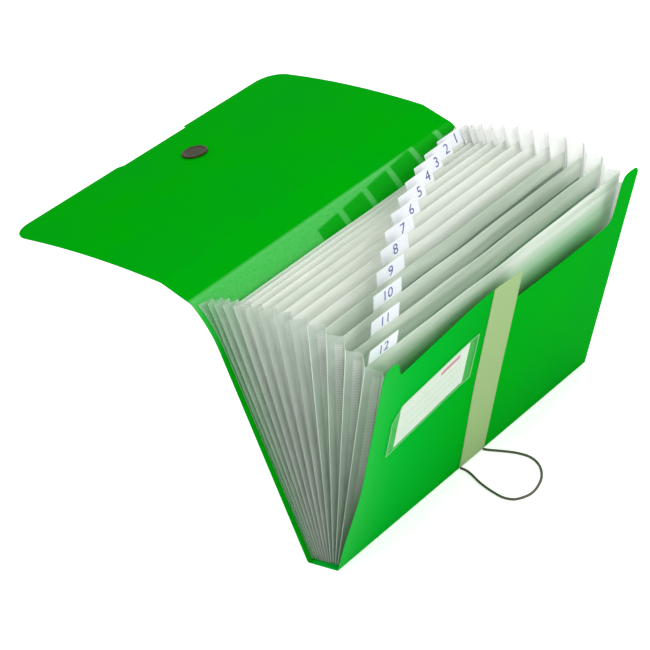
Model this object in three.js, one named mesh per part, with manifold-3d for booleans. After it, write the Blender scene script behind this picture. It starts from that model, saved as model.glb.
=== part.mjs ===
// Expanding document case: an accordion file for A4 paper, standing open in a V on its base with the flap folded
// back. Millimetres, +Z up. X runs along the case, +Y points to the back, and the origin is the middle of the
// underside of the base panel. A "lean" is an angle from upright, positive towards the back.
import * as THREE from "three";
import { mergeVertices } from "three/addons/utils/BufferGeometryUtils.js";
import Module from "manifold-3d";

// Cover: one polypropylene sheet with four pressed creases
const LENGTH = 330;
const COVER_THICKNESS = 0.6;
const BASE_DEPTH = 34;
const BASE_FLARE = 4; // how much further each end of the cover reaches at the base
const CREASE_HEIGHT = COVER_THICKNESS / 2;
const CREASE_GAP = 0.3;
const FOLD_GAP = 0.5; // the upper creases fold further, so they start further apart

// Front cover
const FRONT_HEIGHT = 235;
const FRONT_LEAN = -28.25;
const HORN_WIDTH = 22;
const HORN_ROUND = 9;
const LOW_CUT_HEIGHT = 183; // the cut on the far side of the strap
const HIGH_CUT_HEIGHT = 212; // the cut on the label's side of the strap
const CUT_STEP_X = 8; // the step between the two cuts, under the strap
const CUT_FILLET = 6;
const CUT_COLUMNS = 12;
const COVER_ROWS = 14;
// How far the front cover bows inward, at shares of its half length
const FRONT_BOW = [
  [-1, -6.2],
  [-0.58, -1.7],
  [-0.15, 2.7],
  [0.15, 0.5],
  [1, 0],
];
const FRONT_BOW_HEIGHT = 115; // the bow is full from this height up

// Back cover, top strip and flap
const BACK_HEIGHT = 238;
const BACK_LEAN = 9;
const BACK_BEND = 30; // the top of the back cover curves back by this angle
const BACK_BEND_LENGTH = 45;
const BEND_ROWS = 6;
const STRIP_WIDTH = 32.5;
const STRIP_RISE = 28; // above level, towards the back
const FLAP_LENGTH = 185;
const FLAP_RISE = 12; // above level, where the flap starts
const FLAP_BEND = 11; // how much the flap turns down to its edge
const FLAP_CORNER = 22;
const RECESS_LEFT = -37;
const RECESS_RIGHT = 48;
const RECESS_DEPTH = 3.5;
const RECESS_SLOPE = 7;

// Pockets
const POCKETS = 13;
const SHEET_THICKNESS = 0.35;
const SHEET_HEIGHT = 216.5;
const SHEET_LIFT = 4.4; // height of the bottom weld line of the pocket sheets
const BACK_SHEET_LEAN = 8.6;
const FRONT_SHEET_LEAN = -25.6;
const FAN_POWER = 1.42; // 1 spreads the sheets evenly, more crowds them at the back
const TAB_WIDTH = 36;
const TAB_HEIGHT = 16.5;
const TAB_ROUND = 2.5;
const TAB_FROM_FAR_END = 1;
const TAB_FROM_NEAR_END = 1;
const LABEL_MARGIN = 1.5;
const LABEL_THICKNESS = 0.2;
const LABEL_GAP = 0.1;

// Gussets
const GUSSET_ABOVE_SHEETS = 17.5;
const GUSSET_DIP = 18; // how much lower the gussets end at the front cover
const GUSSET_DIP_FROM = 10; // the sheet from which they dip
const GUSSET_THICKNESS = 0.3;
const GUSSET_PANEL = 13; // width of one panel of a pleat
const GUSSET_LEAST_DEPTH = 5; // a pleat is never pulled flatter than this
const GUSSET_INSET = 3.8; // from the end of the covers to the outer folds
const FOLD_FLAT = 0.8; // width of each rounded-off fold
const SHEET_END_GAP = 0.9;
const GUSSET_COVER_GAP = 0.4;

// Label pocket and card on the front cover
const POCKET_LEFT = -140;
const POCKET_WIDTH = 113.5;
const POCKET_BOTTOM = 122;
const POCKET_HEIGHT = 50;
const POCKET_CHAMFER = 12;
const FILM_THICKNESS = 0.25;
const CARD_WIDTH = 92;
const CARD_HEIGHT = 46;
const CARD_THICKNESS = 0.25;
const LAYER_GAP = 0.15;

// Strap, elastic loop and button
const STRAP_WIDTH = 33;
const STRAP_TOP_X = -1.5;
const STRAP_BOTTOM_X = 3;
const STRAP_THICKNESS = 0.6;
const STRAP_BOTTOM = 3.2;
const CORD_DIAMETER = 2.2;
const CORD_LIFT = 0.05;
const BUTTON_X = 8;
const BUTTON_ALONG_FLAP = 130;
const DISC_DIAMETER = 24;
const DISC_THICKNESS = 1.6;
const DISC_RIM = 2.2;
const DISC_STEP = 0.35;
const DISC_ROUND = 0.6;
const KNOB_DIAMETER = 20;
const KNOB_NECK = 9;
const KNOB_NECK_LENGTH = 3.5;
const KNOB_HEAD = 2.4;
const SHANK_DIAMETER = 5;
const BUTTON_GAP = 0.3;

const wasm = await Module();
wasm.setup();

const HALF = LENGTH / 2;
const COVER_HALF_THICKNESS = COVER_THICKNESS / 2;
const HALF_DEPTH = BASE_DEPTH / 2;
const SHEETS = POCKETS - 1;
const radians = THREE.MathUtils.degToRad;

// Materials, one per finish
const green = () => new THREE.MeshStandardMaterial({ color: 0x00a814, roughness: 0.4, metalness: 0 });
const clearSheet = () => new THREE.MeshStandardMaterial({ color: 0xc9d6c6, roughness: 0.35, metalness: 0 });
const whiteFilm = () => new THREE.MeshStandardMaterial({ color: 0xe4e6e2, roughness: 0.4, metalness: 0 });
const paper = () => new THREE.MeshStandardMaterial({ color: 0xf4f6fa, roughness: 0.7, metalness: 0 });
const film = () => new THREE.MeshStandardMaterial({ color: 0xbfe0c4, roughness: 0.15, metalness: 0 });
const band = () => new THREE.MeshStandardMaterial({ color: 0xa1c082, roughness: 0.75, metalness: 0 });
const elastic = () => new THREE.MeshStandardMaterial({ color: 0x4b443a, roughness: 0.8, metalness: 0 });
const bronze = () => new THREE.MeshStandardMaterial({ color: 0x50443c, roughness: 0.35, metalness: 0.7 });

// The closed skin between two grids of points, faceA[i][j] and faceB[i][j]
function skinBetween(faceA, faceB) {
  const columns = faceA.length;
  const rows = faceA[0].length;
  const position = [];
  for (const face of [faceA, faceB]) {
    for (const column of face) {
      for (const point of column) {
        position.push(point.x, point.y, point.z);
      }
    }
  }
  const at = (side, i, j) => (side * columns + i) * rows + j;
  const index = [];
  const quad = (a, b, c, d) => index.push(a, b, c, a, c, d);
  for (let i = 0; i < columns - 1; i += 1) {
    for (let j = 0; j < rows - 1; j += 1) {
      quad(at(0, i, j), at(0, i + 1, j), at(0, i + 1, j + 1), at(0, i, j + 1));
      quad(at(1, i, j), at(1, i, j + 1), at(1, i + 1, j + 1), at(1, i + 1, j));
    }
    quad(at(0, i, 0), at(1, i, 0), at(1, i + 1, 0), at(0, i + 1, 0));
    quad(at(0, i, rows - 1), at(0, i + 1, rows - 1), at(1, i + 1, rows - 1), at(1, i, rows - 1));
  }
  for (let j = 0; j < rows - 1; j += 1) {
    quad(at(0, 0, j), at(0, 0, j + 1), at(1, 0, j + 1), at(1, 0, j));
    quad(at(0, columns - 1, j), at(1, columns - 1, j), at(1, columns - 1, j + 1), at(0, columns - 1, j + 1));
  }
  const geometry = new THREE.BufferGeometry();
  geometry.setAttribute("position", new THREE.Float32BufferAttribute(position, 3));
  geometry.setIndex(signedVolume(position, index) < 0 ? turnedOver(index) : index);
  return geometry;
}

function signedVolume(position, index) {
  const corner = (k) => new THREE.Vector3(position[3 * k], position[3 * k + 1], position[3 * k + 2]);
  let sum = 0;
  for (let t = 0; t < index.length; t += 3) {
    const a = corner(index[t]);
    sum += a.dot(corner(index[t + 1]).cross(corner(index[t + 2])));
  }
  return sum;
}

function turnedOver(index) {
  const turned = [];
  for (let t = 0; t < index.length; t += 3) {
    turned.push(index[t], index[t + 2], index[t + 1]);
  }
  return turned;
}

// A sheet whose middle surface is place(x, s) and whose faces lie either side of it
function sheetOver(columns, thickness, place) {
  const face = (side) =>
    columns.map(({ x, heights }) => heights.map((s) => place(x, s, (side * thickness) / 2)));
  return skinBetween(face(1), face(-1));
}

// Evenly spaced heights from low to high
function spread(low, high, steps) {
  return Array.from({ length: steps + 1 }, (_, k) => low + ((high - low) * k) / steps);
}

function piece(name, geometry, material) {
  const mesh = new THREE.Mesh(geometry, material);
  mesh.name = name;
  return mesh;
}

function toManifold(geometry) {
  const bare = geometry.clone();
  bare.deleteAttribute("normal");
  bare.deleteAttribute("uv");
  const merged = mergeVertices(bare);
  return new wasm.Manifold(
    new wasm.Mesh({
      numProp: 3,
      vertProperties: Float32Array.from(merged.attributes.position.array),
      triVerts: Uint32Array.from(merged.index.array),
    }),
  );
}

function fromManifold(solid) {
  const mesh = solid.getMesh();
  const geometry = new THREE.BufferGeometry();
  geometry.setAttribute("position", new THREE.Float32BufferAttribute(mesh.vertProperties, 3));
  geometry.setIndex(Array.from(mesh.triVerts));
  return geometry;
}

// The ends of the cover flare out towards the base
function flared(x, s, height) {
  return x * (1 + (BASE_FLARE / HALF) * (1 - s / height));
}

// Front cover: how far it bows inward at a place
const bowCurve = new THREE.CatmullRomCurve3(
  FRONT_BOW.map(([share, depth]) => new THREE.Vector3(share * HALF, depth, 0)),
);
const BOW_SAMPLES = bowCurve.getPoints(60);

function bowAcross(x) {
  const next = BOW_SAMPLES.findIndex((sample) => sample.x >= x);
  if (next <= 0) {
    return next === 0 ? BOW_SAMPLES[0].y : BOW_SAMPLES.at(-1).y;
  }
  const [low, high] = [BOW_SAMPLES[next - 1], BOW_SAMPLES[next]];
  return THREE.MathUtils.mapLinear(x, low.x, high.x, low.y, high.y);
}

function frontBow(x, s) {
  return bowAcross(x) * THREE.MathUtils.smoothstep(s, 0, FRONT_BOW_HEIGHT);
}

// A point of the front cover at height s along it, moved outward by out
function frontPoint(x, s, out) {
  const lean = radians(FRONT_LEAN);
  const outward = out - frontBow(x, s);
  return new THREE.Vector3(
    flared(x, s, FRONT_HEIGHT),
    -HALF_DEPTH + s * Math.sin(lean) - outward * Math.cos(lean),
    CREASE_HEIGHT + s * Math.cos(lean) + outward * Math.sin(lean),
  );
}

// The covers start just clear of the base panel, so that they can turn beside it
const COVER_START = COVER_HALF_THICKNESS + CREASE_GAP + LAYER_GAP / 2;

// Top edge of the front cover, from the label's end to the far end
function frontTopEdge() {
  const hornInner = HALF - HORN_WIDTH;
  const top = FRONT_HEIGHT;
  const edge = [];
  for (const angle of [0, 30, 60, 90]) {
    edge.push([
      -HALF + HORN_ROUND * (1 - Math.cos(radians(angle))),
      top - HORN_ROUND * (1 - Math.sin(radians(angle))),
    ]);
  }
  edge.push([-hornInner - CUT_FILLET, top - CUT_FILLET / 2]);
  edge.push([-hornInner, top - 2 * CUT_FILLET]);
  edge.push([-hornInner + CUT_FILLET / 2, HIGH_CUT_HEIGHT + CUT_FILLET / 4]);
  edge.push([-hornInner + CUT_FILLET, HIGH_CUT_HEIGHT]);
  for (const x of spread(-hornInner + CUT_FILLET, CUT_STEP_X, CUT_COLUMNS).slice(1)) {
    edge.push([x, HIGH_CUT_HEIGHT]);
  }
  for (const x of spread(CUT_STEP_X + CREASE_GAP, hornInner - CUT_FILLET, CUT_COLUMNS)) {
    edge.push([x, LOW_CUT_HEIGHT]);
  }
  edge.push([hornInner - CUT_FILLET / 4, LOW_CUT_HEIGHT + CUT_FILLET / 2]);
  edge.push([hornInner, LOW_CUT_HEIGHT + 2 * CUT_FILLET]);
  edge.push([hornInner + CREASE_GAP, top - CUT_FILLET / 2]);
  edge.push([hornInner + CUT_FILLET / 4, top]);
  for (const angle of [90, 60, 30, 0]) {
    edge.push([
      HALF - HORN_ROUND * (1 - Math.cos(radians(angle))),
      top - HORN_ROUND * (1 - Math.sin(radians(angle))),
    ]);
  }
  return edge;
}

function frontCover() {
  const columns = frontTopEdge().map(([x, top]) => ({
    x,
    heights: spread(COVER_START, top, COVER_ROWS),
  }));
  return piece("front_cover", sheetOver(columns, COVER_THICKNESS, frontPoint), green());
}

// Back cover: a straight lower part, then an arc that curves back; out points to the rear
function backPoint(x, s, out) {
  const straight = BACK_HEIGHT - BACK_BEND_LENGTH;
  const lower = radians(BACK_LEAN);
  const along = Math.min(s, straight);
  const y = HALF_DEPTH + along * Math.sin(lower);
  const z = CREASE_HEIGHT + along * Math.cos(lower);
  const bend = s > straight ? (radians(BACK_BEND) * (s - straight)) / BACK_BEND_LENGTH : 0;
  const radius = BACK_BEND_LENGTH / radians(BACK_BEND);
  const turned = lower + bend;
  return new THREE.Vector3(
    flared(x, s, BACK_HEIGHT),
    y + radius * (Math.cos(lower) - Math.cos(turned)) + out * Math.cos(turned),
    z + radius * (Math.sin(turned) - Math.sin(lower)) - out * Math.sin(turned),
  );
}

function backCover() {
  const straight = BACK_HEIGHT - BACK_BEND_LENGTH;
  const bend = spread(straight, BACK_HEIGHT, BEND_ROWS).slice(0, -1);
  const heights = [COVER_START, ...bend, BACK_HEIGHT - FOLD_GAP];
  const columns = [-HALF, HALF].map((x) => ({ x, heights }));
  return piece("back_cover", sheetOver(columns, COVER_THICKNESS, backPoint), green());
}

const backFold = backPoint(0, BACK_HEIGHT, 0);
const stripEnd = new THREE.Vector3(
  0,
  backFold.y + STRIP_WIDTH * Math.cos(radians(STRIP_RISE)),
  backFold.z + STRIP_WIDTH * Math.sin(radians(STRIP_RISE)),
);

// Top strip: out points up, on the side that is inside when the case is closed
function stripPoint(x, s, out) {
  const rise = radians(STRIP_RISE);
  return new THREE.Vector3(
    x,
    backFold.y + s * Math.cos(rise) - out * Math.sin(rise),
    backFold.z + s * Math.sin(rise) + out * Math.cos(rise),
  );
}

function topStrip() {
  const heights = [FOLD_GAP, STRIP_WIDTH - FOLD_GAP];
  const columns = [-HALF, HALF].map((x) => ({ x, heights }));
  return piece("top_strip", sheetOver(columns, COVER_THICKNESS, stripPoint), green());
}

// Flap: an arc that droops from the strip; out points up
function flapPoint(x, s, out) {
  const start = radians(FLAP_RISE);
  const radius = FLAP_LENGTH / radians(FLAP_BEND);
  const angle = start - s / radius;
  return new THREE.Vector3(
    x,
    stripEnd.y + radius * (Math.sin(start) - Math.sin(angle)) - out * Math.sin(angle),
    stripEnd.z + radius * (Math.cos(angle) - Math.cos(start)) + out * Math.cos(angle),
  );
}

function flapEdge() {
  const edge = [];
  const angles = [0, 15, 35, 60, 90];
  for (const angle of angles) {
    edge.push([
      -HALF + FLAP_CORNER * (1 - Math.cos(radians(angle))),
      FLAP_LENGTH - FLAP_CORNER * (1 - Math.sin(radians(angle))),
    ]);
  }
  edge.push([RECESS_LEFT, FLAP_LENGTH]);
  edge.push([RECESS_LEFT + RECESS_SLOPE, FLAP_LENGTH - RECESS_DEPTH]);
  edge.push([RECESS_RIGHT - CREASE_GAP, FLAP_LENGTH - RECESS_DEPTH]);
  edge.push([RECESS_RIGHT, FLAP_LENGTH]);
  for (const angle of angles.toReversed()) {
    edge.push([
      HALF - FLAP_CORNER * (1 - Math.cos(radians(angle))),
      FLAP_LENGTH - FLAP_CORNER * (1 - Math.sin(radians(angle))),
    ]);
  }
  return edge;
}

// Places a part made round the Z axis at the button, with its Z axis square to the flap
function placeAtButton(mesh) {
  const onFlap = flapPoint(BUTTON_X, BUTTON_ALONG_FLAP, 0);
  const slope = radians(FLAP_RISE) - BUTTON_ALONG_FLAP / (FLAP_LENGTH / radians(FLAP_BEND));
  mesh.position.copy(onFlap);
  mesh.rotation.x = slope;
  return mesh;
}

function flap() {
  const rows = 8;
  const columns = flapEdge().map(([x, end]) => ({ x, heights: spread(FOLD_GAP, end, rows) }));
  const sheet = sheetOver(columns, COVER_THICKNESS, flapPoint);
  const drillRadius = SHANK_DIAMETER / 2 + BUTTON_GAP;
  const drill = new THREE.CylinderGeometry(drillRadius, drillRadius, 20 * COVER_THICKNESS, 24);
  drill.rotateX(Math.PI / 2);
  const placed = placeAtButton(new THREE.Mesh(drill));
  placed.updateMatrix();
  drill.applyMatrix4(placed.matrix);
  const drilled = toManifold(sheet).subtract(toManifold(drill));
  return piece("flap", fromManifold(drilled), green());
}

// Button: a disc inside the flap, and a knob outside it whose shank goes through the flap
function buttonDisc() {
  const radius = DISC_DIAMETER / 2;
  const seat = COVER_HALF_THICKNESS + BUTTON_GAP;
  const top = seat + DISC_THICKNESS;
  const profile = [
    [0, seat],
    [radius - DISC_ROUND, seat],
    [radius, seat + DISC_ROUND],
    [radius - DISC_ROUND, top],
    [radius - DISC_RIM, top],
    [radius - DISC_RIM - DISC_ROUND, top - DISC_STEP],
    [0, top - DISC_STEP],
  ];
  const geometry = new THREE.LatheGeometry(profile.map(([r, h]) => new THREE.Vector2(r, h)), 40);
  geometry.rotateX(Math.PI / 2);
  return placeAtButton(piece("button_disc", geometry, bronze()));
}

function buttonKnob() {
  const seat = -COVER_HALF_THICKNESS - BUTTON_GAP;
  const neckEnd = seat - KNOB_NECK_LENGTH;
  const head = neckEnd - KNOB_HEAD;
  const profile = [
    [0, head],
    [KNOB_DIAMETER / 2 - DISC_ROUND, head],
    [KNOB_DIAMETER / 2, head + DISC_ROUND],
    [KNOB_DIAMETER / 2, neckEnd - DISC_ROUND],
    [KNOB_NECK / 2, neckEnd],
    [KNOB_NECK / 2, seat],
    [SHANK_DIAMETER / 2, seat],
    [SHANK_DIAMETER / 2, COVER_HALF_THICKNESS],
    [0, COVER_HALF_THICKNESS],
  ];
  const geometry = new THREE.LatheGeometry(profile.map(([r, h]) => new THREE.Vector2(r, h)), 32);
  geometry.rotateX(Math.PI / 2);
  return placeAtButton(piece("button_knob", geometry, bronze()));
}

// The base panel fills the base between the two bottom creases
function basePanel() {
  const depth = BASE_DEPTH - 2 * CREASE_GAP;
  const height = 2 * CREASE_HEIGHT;
  const geometry = new THREE.BoxGeometry(LENGTH + 2 * BASE_FLARE, depth, height);
  geometry.translate(0, 0, height / 2);
  return piece("base_panel", geometry, green());
}

// Pocket sheets: number 1 is at the back
function sheetLean(number) {
  const u = (number - 1) / (SHEETS - 1);
  return THREE.MathUtils.lerp(BACK_SHEET_LEAN, FRONT_SHEET_LEAN, u ** FAN_POWER);
}

function sheetFoot(number) {
  return HALF_DEPTH - (BASE_DEPTH * number) / POCKETS;
}

const FOLD_X = HALF - GUSSET_INSET;
const SHEET_HALF = FOLD_X - SHEET_END_GAP;
const FIRST_TAB_X = SHEET_HALF - TAB_FROM_FAR_END - TAB_WIDTH / 2;
const LAST_TAB_X = -SHEET_HALF + TAB_FROM_NEAR_END + TAB_WIDTH / 2;
const TAB_STEP = (FIRST_TAB_X - LAST_TAB_X) / (SHEETS - 1);
const GUSSET_HEIGHT = SHEET_HEIGHT + GUSSET_ABOVE_SHEETS;

function tabCentre(number) {
  return FIRST_TAB_X - TAB_STEP * (number - 1);
}

function sheetOutline(number) {
  const left = tabCentre(number) - TAB_WIDTH / 2;
  const right = tabCentre(number) + TAB_WIDTH / 2;
  const top = SHEET_HEIGHT + TAB_HEIGHT;
  const outline = new THREE.Shape();
  outline.moveTo(-SHEET_HALF, 0);
  outline.lineTo(SHEET_HALF, 0);
  outline.lineTo(SHEET_HALF, SHEET_HEIGHT);
  outline.lineTo(right, SHEET_HEIGHT);
  outline.lineTo(right, top - TAB_ROUND);
  outline.lineTo(right - TAB_ROUND, top);
  outline.lineTo(left + TAB_ROUND, top);
  outline.lineTo(left, top - TAB_ROUND);
  outline.lineTo(left, SHEET_HEIGHT);
  outline.lineTo(-SHEET_HALF, SHEET_HEIGHT);
  return outline;
}

function labelOutline(number) {
  const left = tabCentre(number) - TAB_WIDTH / 2 + LABEL_MARGIN;
  const right = tabCentre(number) + TAB_WIDTH / 2 - LABEL_MARGIN;
  const outline = new THREE.Shape();
  outline.moveTo(left, SHEET_HEIGHT - LABEL_MARGIN);
  outline.lineTo(right, SHEET_HEIGHT - LABEL_MARGIN);
  outline.lineTo(right, SHEET_HEIGHT + TAB_HEIGHT - LABEL_MARGIN);
  outline.lineTo(left, SHEET_HEIGHT + TAB_HEIGHT - LABEL_MARGIN);
  return outline;
}

function plate(outline, thickness, start) {
  const geometry = new THREE.ExtrudeGeometry(outline, { depth: thickness, bevelEnabled: false });
  geometry.translate(0, 0, start);
  return geometry;
}

// A pocket sheet and its label, drawn flat and then stood up on the sheet's weld line
function pocketSheet(number) {
  const label = String(number).padStart(2, "0");
  const group = new THREE.Group();
  group.position.set(0, sheetFoot(number), SHEET_LIFT);
  group.rotation.x = Math.PI / 2 - radians(sheetLean(number));
  const sheet = plate(sheetOutline(number), SHEET_THICKNESS, -SHEET_THICKNESS / 2);
  group.add(piece(`pocket_sheet_${label}`, sheet, clearSheet()));
  const onTab = plate(labelOutline(number), LABEL_THICKNESS, SHEET_THICKNESS / 2 + LABEL_GAP);
  group.add(piece(`tab_label_${label}`, onTab, paper()));
  return group;
}

// Where the gussets end above sheet number, the covers being 0 and 13
function gussetTop(number) {
  const dip = Math.max(0, number - GUSSET_DIP_FROM) / (POCKETS - GUSSET_DIP_FROM);
  return GUSSET_HEIGHT - GUSSET_DIP * dip;
}

// A point of pocket sheet number at share of the gusset's height
function sheetLine(number, share) {
  const lean = radians(sheetLean(number));
  const along = share * (gussetTop(number) - SHEET_LIFT);
  return new THREE.Vector2(
    sheetFoot(number) + along * Math.sin(lean),
    SHEET_LIFT + along * Math.cos(lean),
  );
}

// Where the gusset runs at a share of its height: its ends lie beside the covers, inside them
function gussetStation(number, share) {
  const inside = -(COVER_HALF_THICKNESS + GUSSET_COVER_GAP + GUSSET_THICKNESS);
  const s = THREE.MathUtils.lerp(SHEET_LIFT, GUSSET_HEIGHT, share);
  if (number === 0) {
    const point = backPoint(0, s, inside);
    return new THREE.Vector2(point.y, point.z);
  }
  return sheetLine(number, share);
}

function frontStation(side, share) {
  const inside = -(COVER_HALF_THICKNESS + GUSSET_COVER_GAP + GUSSET_THICKNESS);
  const s = THREE.MathUtils.lerp(SHEET_LIFT, gussetTop(POCKETS), share);
  const point = frontPoint(side * FOLD_X, s, inside);
  return new THREE.Vector2(point.y, point.z);
}

// The zigzag of one gusset in plan, at one share of its height: x is measured outward
function gussetPath(side, share) {
  const stations = [];
  for (let number = 0; number <= SHEETS; number += 1) {
    stations.push(gussetStation(number, share));
  }
  stations.push(frontStation(side, share));
  const path = [];
  const add = (x, station, shift) => path.push({ x, y: station.x + shift, z: station.y });
  stations.forEach((station, k) => {
    const first = k === 0;
    const last = k === stations.length - 1;
    if (!first) {
      add(FOLD_X, station, FOLD_FLAT / 2);
    }
    if (!last) {
      add(FOLD_X, station, -FOLD_FLAT / 2);
      const next = stations[k + 1];
      const half = (station.x - next.x) / 2;
      const depth = Math.sqrt(Math.max(GUSSET_PANEL ** 2 - half ** 2, GUSSET_LEAST_DEPTH ** 2));
      const middle = station.clone().add(next).multiplyScalar(0.5);
      add(FOLD_X - depth, middle, FOLD_FLAT / 2 - GUSSET_THICKNESS / 4);
      add(FOLD_X - depth, middle, -FOLD_FLAT / 2 + GUSSET_THICKNESS / 4);
    }
  });
  return path;
}

// Moves each point of a path to one side by distance, keeping the corners sharp
function offsetPath(path, distance) {
  return path.map((point, k) => {
    const before = path[Math.max(k - 1, 0)];
    const after = path[Math.min(k + 1, path.length - 1)];
    const normal = (from, to) => new THREE.Vector2(from.y - to.y, to.x - from.x).normalize();
    const start = normal(before, k === 0 ? after : point);
    const end = normal(k === path.length - 1 ? before : point, after);
    const bisector = start.clone().add(end).normalize();
    const reach = distance / Math.max(bisector.dot(start), 0.3);
    return { x: point.x + bisector.x * reach, y: point.y + bisector.y * reach, z: point.z };
  });
}

function gusset(side, name) {
  const straight = BACK_HEIGHT - BACK_BEND_LENGTH;
  const bend = spread(straight, BACK_HEIGHT, BEND_ROWS).filter((s) => s < GUSSET_HEIGHT);
  const heights = [...spread(SHEET_LIFT, straight, 4).slice(0, -1), ...bend, GUSSET_HEIGHT];
  const paths = heights.map((s) => {
    return gussetPath(side, THREE.MathUtils.inverseLerp(SHEET_LIFT, GUSSET_HEIGHT, s));
  });
  const face = (distance) => {
    const moved = paths.map((path) => offsetPath(path, distance));
    return moved[0].map((_, k) =>
      moved.map((path) => new THREE.Vector3(side * path[k].x, path[k].y, path[k].z)),
    );
  };
  const geometry = skinBetween(face(GUSSET_THICKNESS / 2), face(-GUSSET_THICKNESS / 2));
  return piece(name, geometry, whiteFilm());
}

// Label pocket and card: both follow the bowed front cover
function labelPocket() {
  const out = COVER_HALF_THICKNESS + 2 * LAYER_GAP + CARD_THICKNESS + FILM_THICKNESS / 2;
  const top = POCKET_BOTTOM + POCKET_HEIGHT;
  const right = POCKET_LEFT + POCKET_WIDTH;
  const stations = [
    [POCKET_LEFT, top - POCKET_CHAMFER],
    [POCKET_LEFT + POCKET_CHAMFER, top],
    ...spread(POCKET_LEFT + POCKET_CHAMFER, right, 8)
      .slice(1)
      .map((x) => [x, top]),
  ];
  const columns = stations.map(([x, end]) => ({ x, heights: spread(POCKET_BOTTOM, end, 3) }));
  const place = (x, s, offset) => frontPoint(x, s, out + offset);
  return piece("label_pocket", sheetOver(columns, FILM_THICKNESS, place), film());
}

function labelCard() {
  const out = COVER_HALF_THICKNESS + LAYER_GAP + CARD_THICKNESS / 2;
  const left = POCKET_LEFT + (POCKET_WIDTH - CARD_WIDTH) / 2;
  const bottom = POCKET_BOTTOM + (POCKET_HEIGHT - CARD_HEIGHT) / 2;
  const heights = spread(bottom, bottom + CARD_HEIGHT, 3);
  const columns = spread(left, left + CARD_WIDTH, 8).map((x) => ({ x, heights }));
  const place = (x, s, offset) => frontPoint(x, s, out + offset);
  return piece("label_card", sheetOver(columns, CARD_THICKNESS, place), paper());
}

// Strap: from its lower end, just above the crease, to the cut
function strap() {
  const out = COVER_HALF_THICKNESS + LAYER_GAP + STRAP_THICKNESS / 2;
  const top = HIGH_CUT_HEIGHT + CUT_FILLET / 4;
  const heights = spread(STRAP_BOTTOM, top, 14);
  const columns = spread(-STRAP_WIDTH / 2, STRAP_WIDTH / 2, 4).map((x) => ({ x, heights }));
  const place = (x, s, offset) => {
    const centre = THREE.MathUtils.mapLinear(s, STRAP_BOTTOM, top, STRAP_BOTTOM_X, STRAP_TOP_X);
    return frontPoint(centre + x, s, out + offset);
  };
  return piece("strap", sheetOver(columns, STRAP_THICKNESS, place), band());
}

// Elastic loop: a cord that leaves the cover below the strap, lies on the table in front and comes back
const CORD_HEIGHT = CORD_DIAMETER / 2 + CORD_LIFT;
const CORD_RISE_Y = CORD_DIAMETER * Math.tan(radians(-FRONT_LEAN)); // how far the cover leans over it
const CORD_EXIT_Y = -HALF_DEPTH - COVER_THICKNESS - CREASE_GAP - CORD_RISE_Y;
const CORD_ROUTE = [
  [-12, 0],
  [-13, -6],
  [-16.5, -15],
  [-25, -32],
  [-32.5, -52],
  [-36, -66],
  [-34.5, -77],
  [-24, -84.5],
  [-10, -82.5],
  [2.5, -76],
  [14.5, -64],
  [22, -49],
  [23.5, -33],
  [21.5, -17],
  [19.5, -6],
  [19, 0],
];

function elasticLoop() {
  const points = CORD_ROUTE.map(([x, y]) => new THREE.Vector3(x, CORD_EXIT_Y + y, CORD_HEIGHT));
  const route = new THREE.CatmullRomCurve3(points);
  const sides = 8;
  const section = new THREE.Shape();
  for (let k = 0; k < sides; k += 1) {
    const angle = (2 * Math.PI * (k + 0.5)) / sides;
    const [x, y] = [(CORD_DIAMETER / 2) * Math.cos(angle), (CORD_DIAMETER / 2) * Math.sin(angle)];
    if (k === 0) {
      section.moveTo(x, y);
    } else {
      section.lineTo(x, y);
    }
  }
  const geometry = new THREE.ExtrudeGeometry(section, { steps: 44, extrudePath: route, bevelEnabled: false });
  return piece("elastic_loop", geometry, elastic());
}

const documentCase = new THREE.Group();
documentCase.add(basePanel(), frontCover(), backCover(), topStrip(), flap());
documentCase.add(buttonDisc(), buttonKnob());
for (let number = 1; number <= SHEETS; number += 1) {
  documentCase.add(pocketSheet(number));
}
documentCase.add(gusset(-1, "gusset_left"), gusset(1, "gusset_right"));
documentCase.add(labelPocket(), labelCard(), strap(), elasticLoop());

export default documentCase;
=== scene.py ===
# %% [markdown]
# # An expanding document case
#
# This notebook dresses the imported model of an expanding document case: a bright green sheet of
# polypropylene, creased into a base, two covers, a top strip and a flap, with twelve frosted pocket
# sheets between two folded gussets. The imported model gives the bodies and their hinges. Here each
# surface gets the shape and finish that the real case shows.

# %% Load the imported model
import math

import bpy
import numpy as np
from mathutils import Matrix, Vector


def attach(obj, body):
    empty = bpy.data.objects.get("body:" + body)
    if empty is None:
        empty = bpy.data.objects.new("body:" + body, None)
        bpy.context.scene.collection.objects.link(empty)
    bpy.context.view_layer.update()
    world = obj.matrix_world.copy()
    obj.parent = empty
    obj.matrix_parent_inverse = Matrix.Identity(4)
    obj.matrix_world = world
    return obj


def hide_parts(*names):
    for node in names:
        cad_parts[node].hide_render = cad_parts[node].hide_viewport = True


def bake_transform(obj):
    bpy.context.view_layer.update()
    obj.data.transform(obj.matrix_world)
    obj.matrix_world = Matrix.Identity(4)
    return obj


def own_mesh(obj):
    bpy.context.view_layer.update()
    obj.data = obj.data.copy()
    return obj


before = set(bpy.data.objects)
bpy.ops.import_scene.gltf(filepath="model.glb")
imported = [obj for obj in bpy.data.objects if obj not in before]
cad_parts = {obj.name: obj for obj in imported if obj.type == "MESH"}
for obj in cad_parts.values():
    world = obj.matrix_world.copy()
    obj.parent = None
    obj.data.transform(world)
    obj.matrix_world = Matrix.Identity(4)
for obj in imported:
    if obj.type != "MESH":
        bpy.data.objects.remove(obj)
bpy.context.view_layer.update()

# %% [markdown]
# ## The camera
#
# The case was photographed with a long lens, from the left and above, and the picture itself is
# turned by about fifteen degrees. The camera below was fitted to the corners of the case, so it has
# that place, turn and lens. The base stays level on the table.

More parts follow.
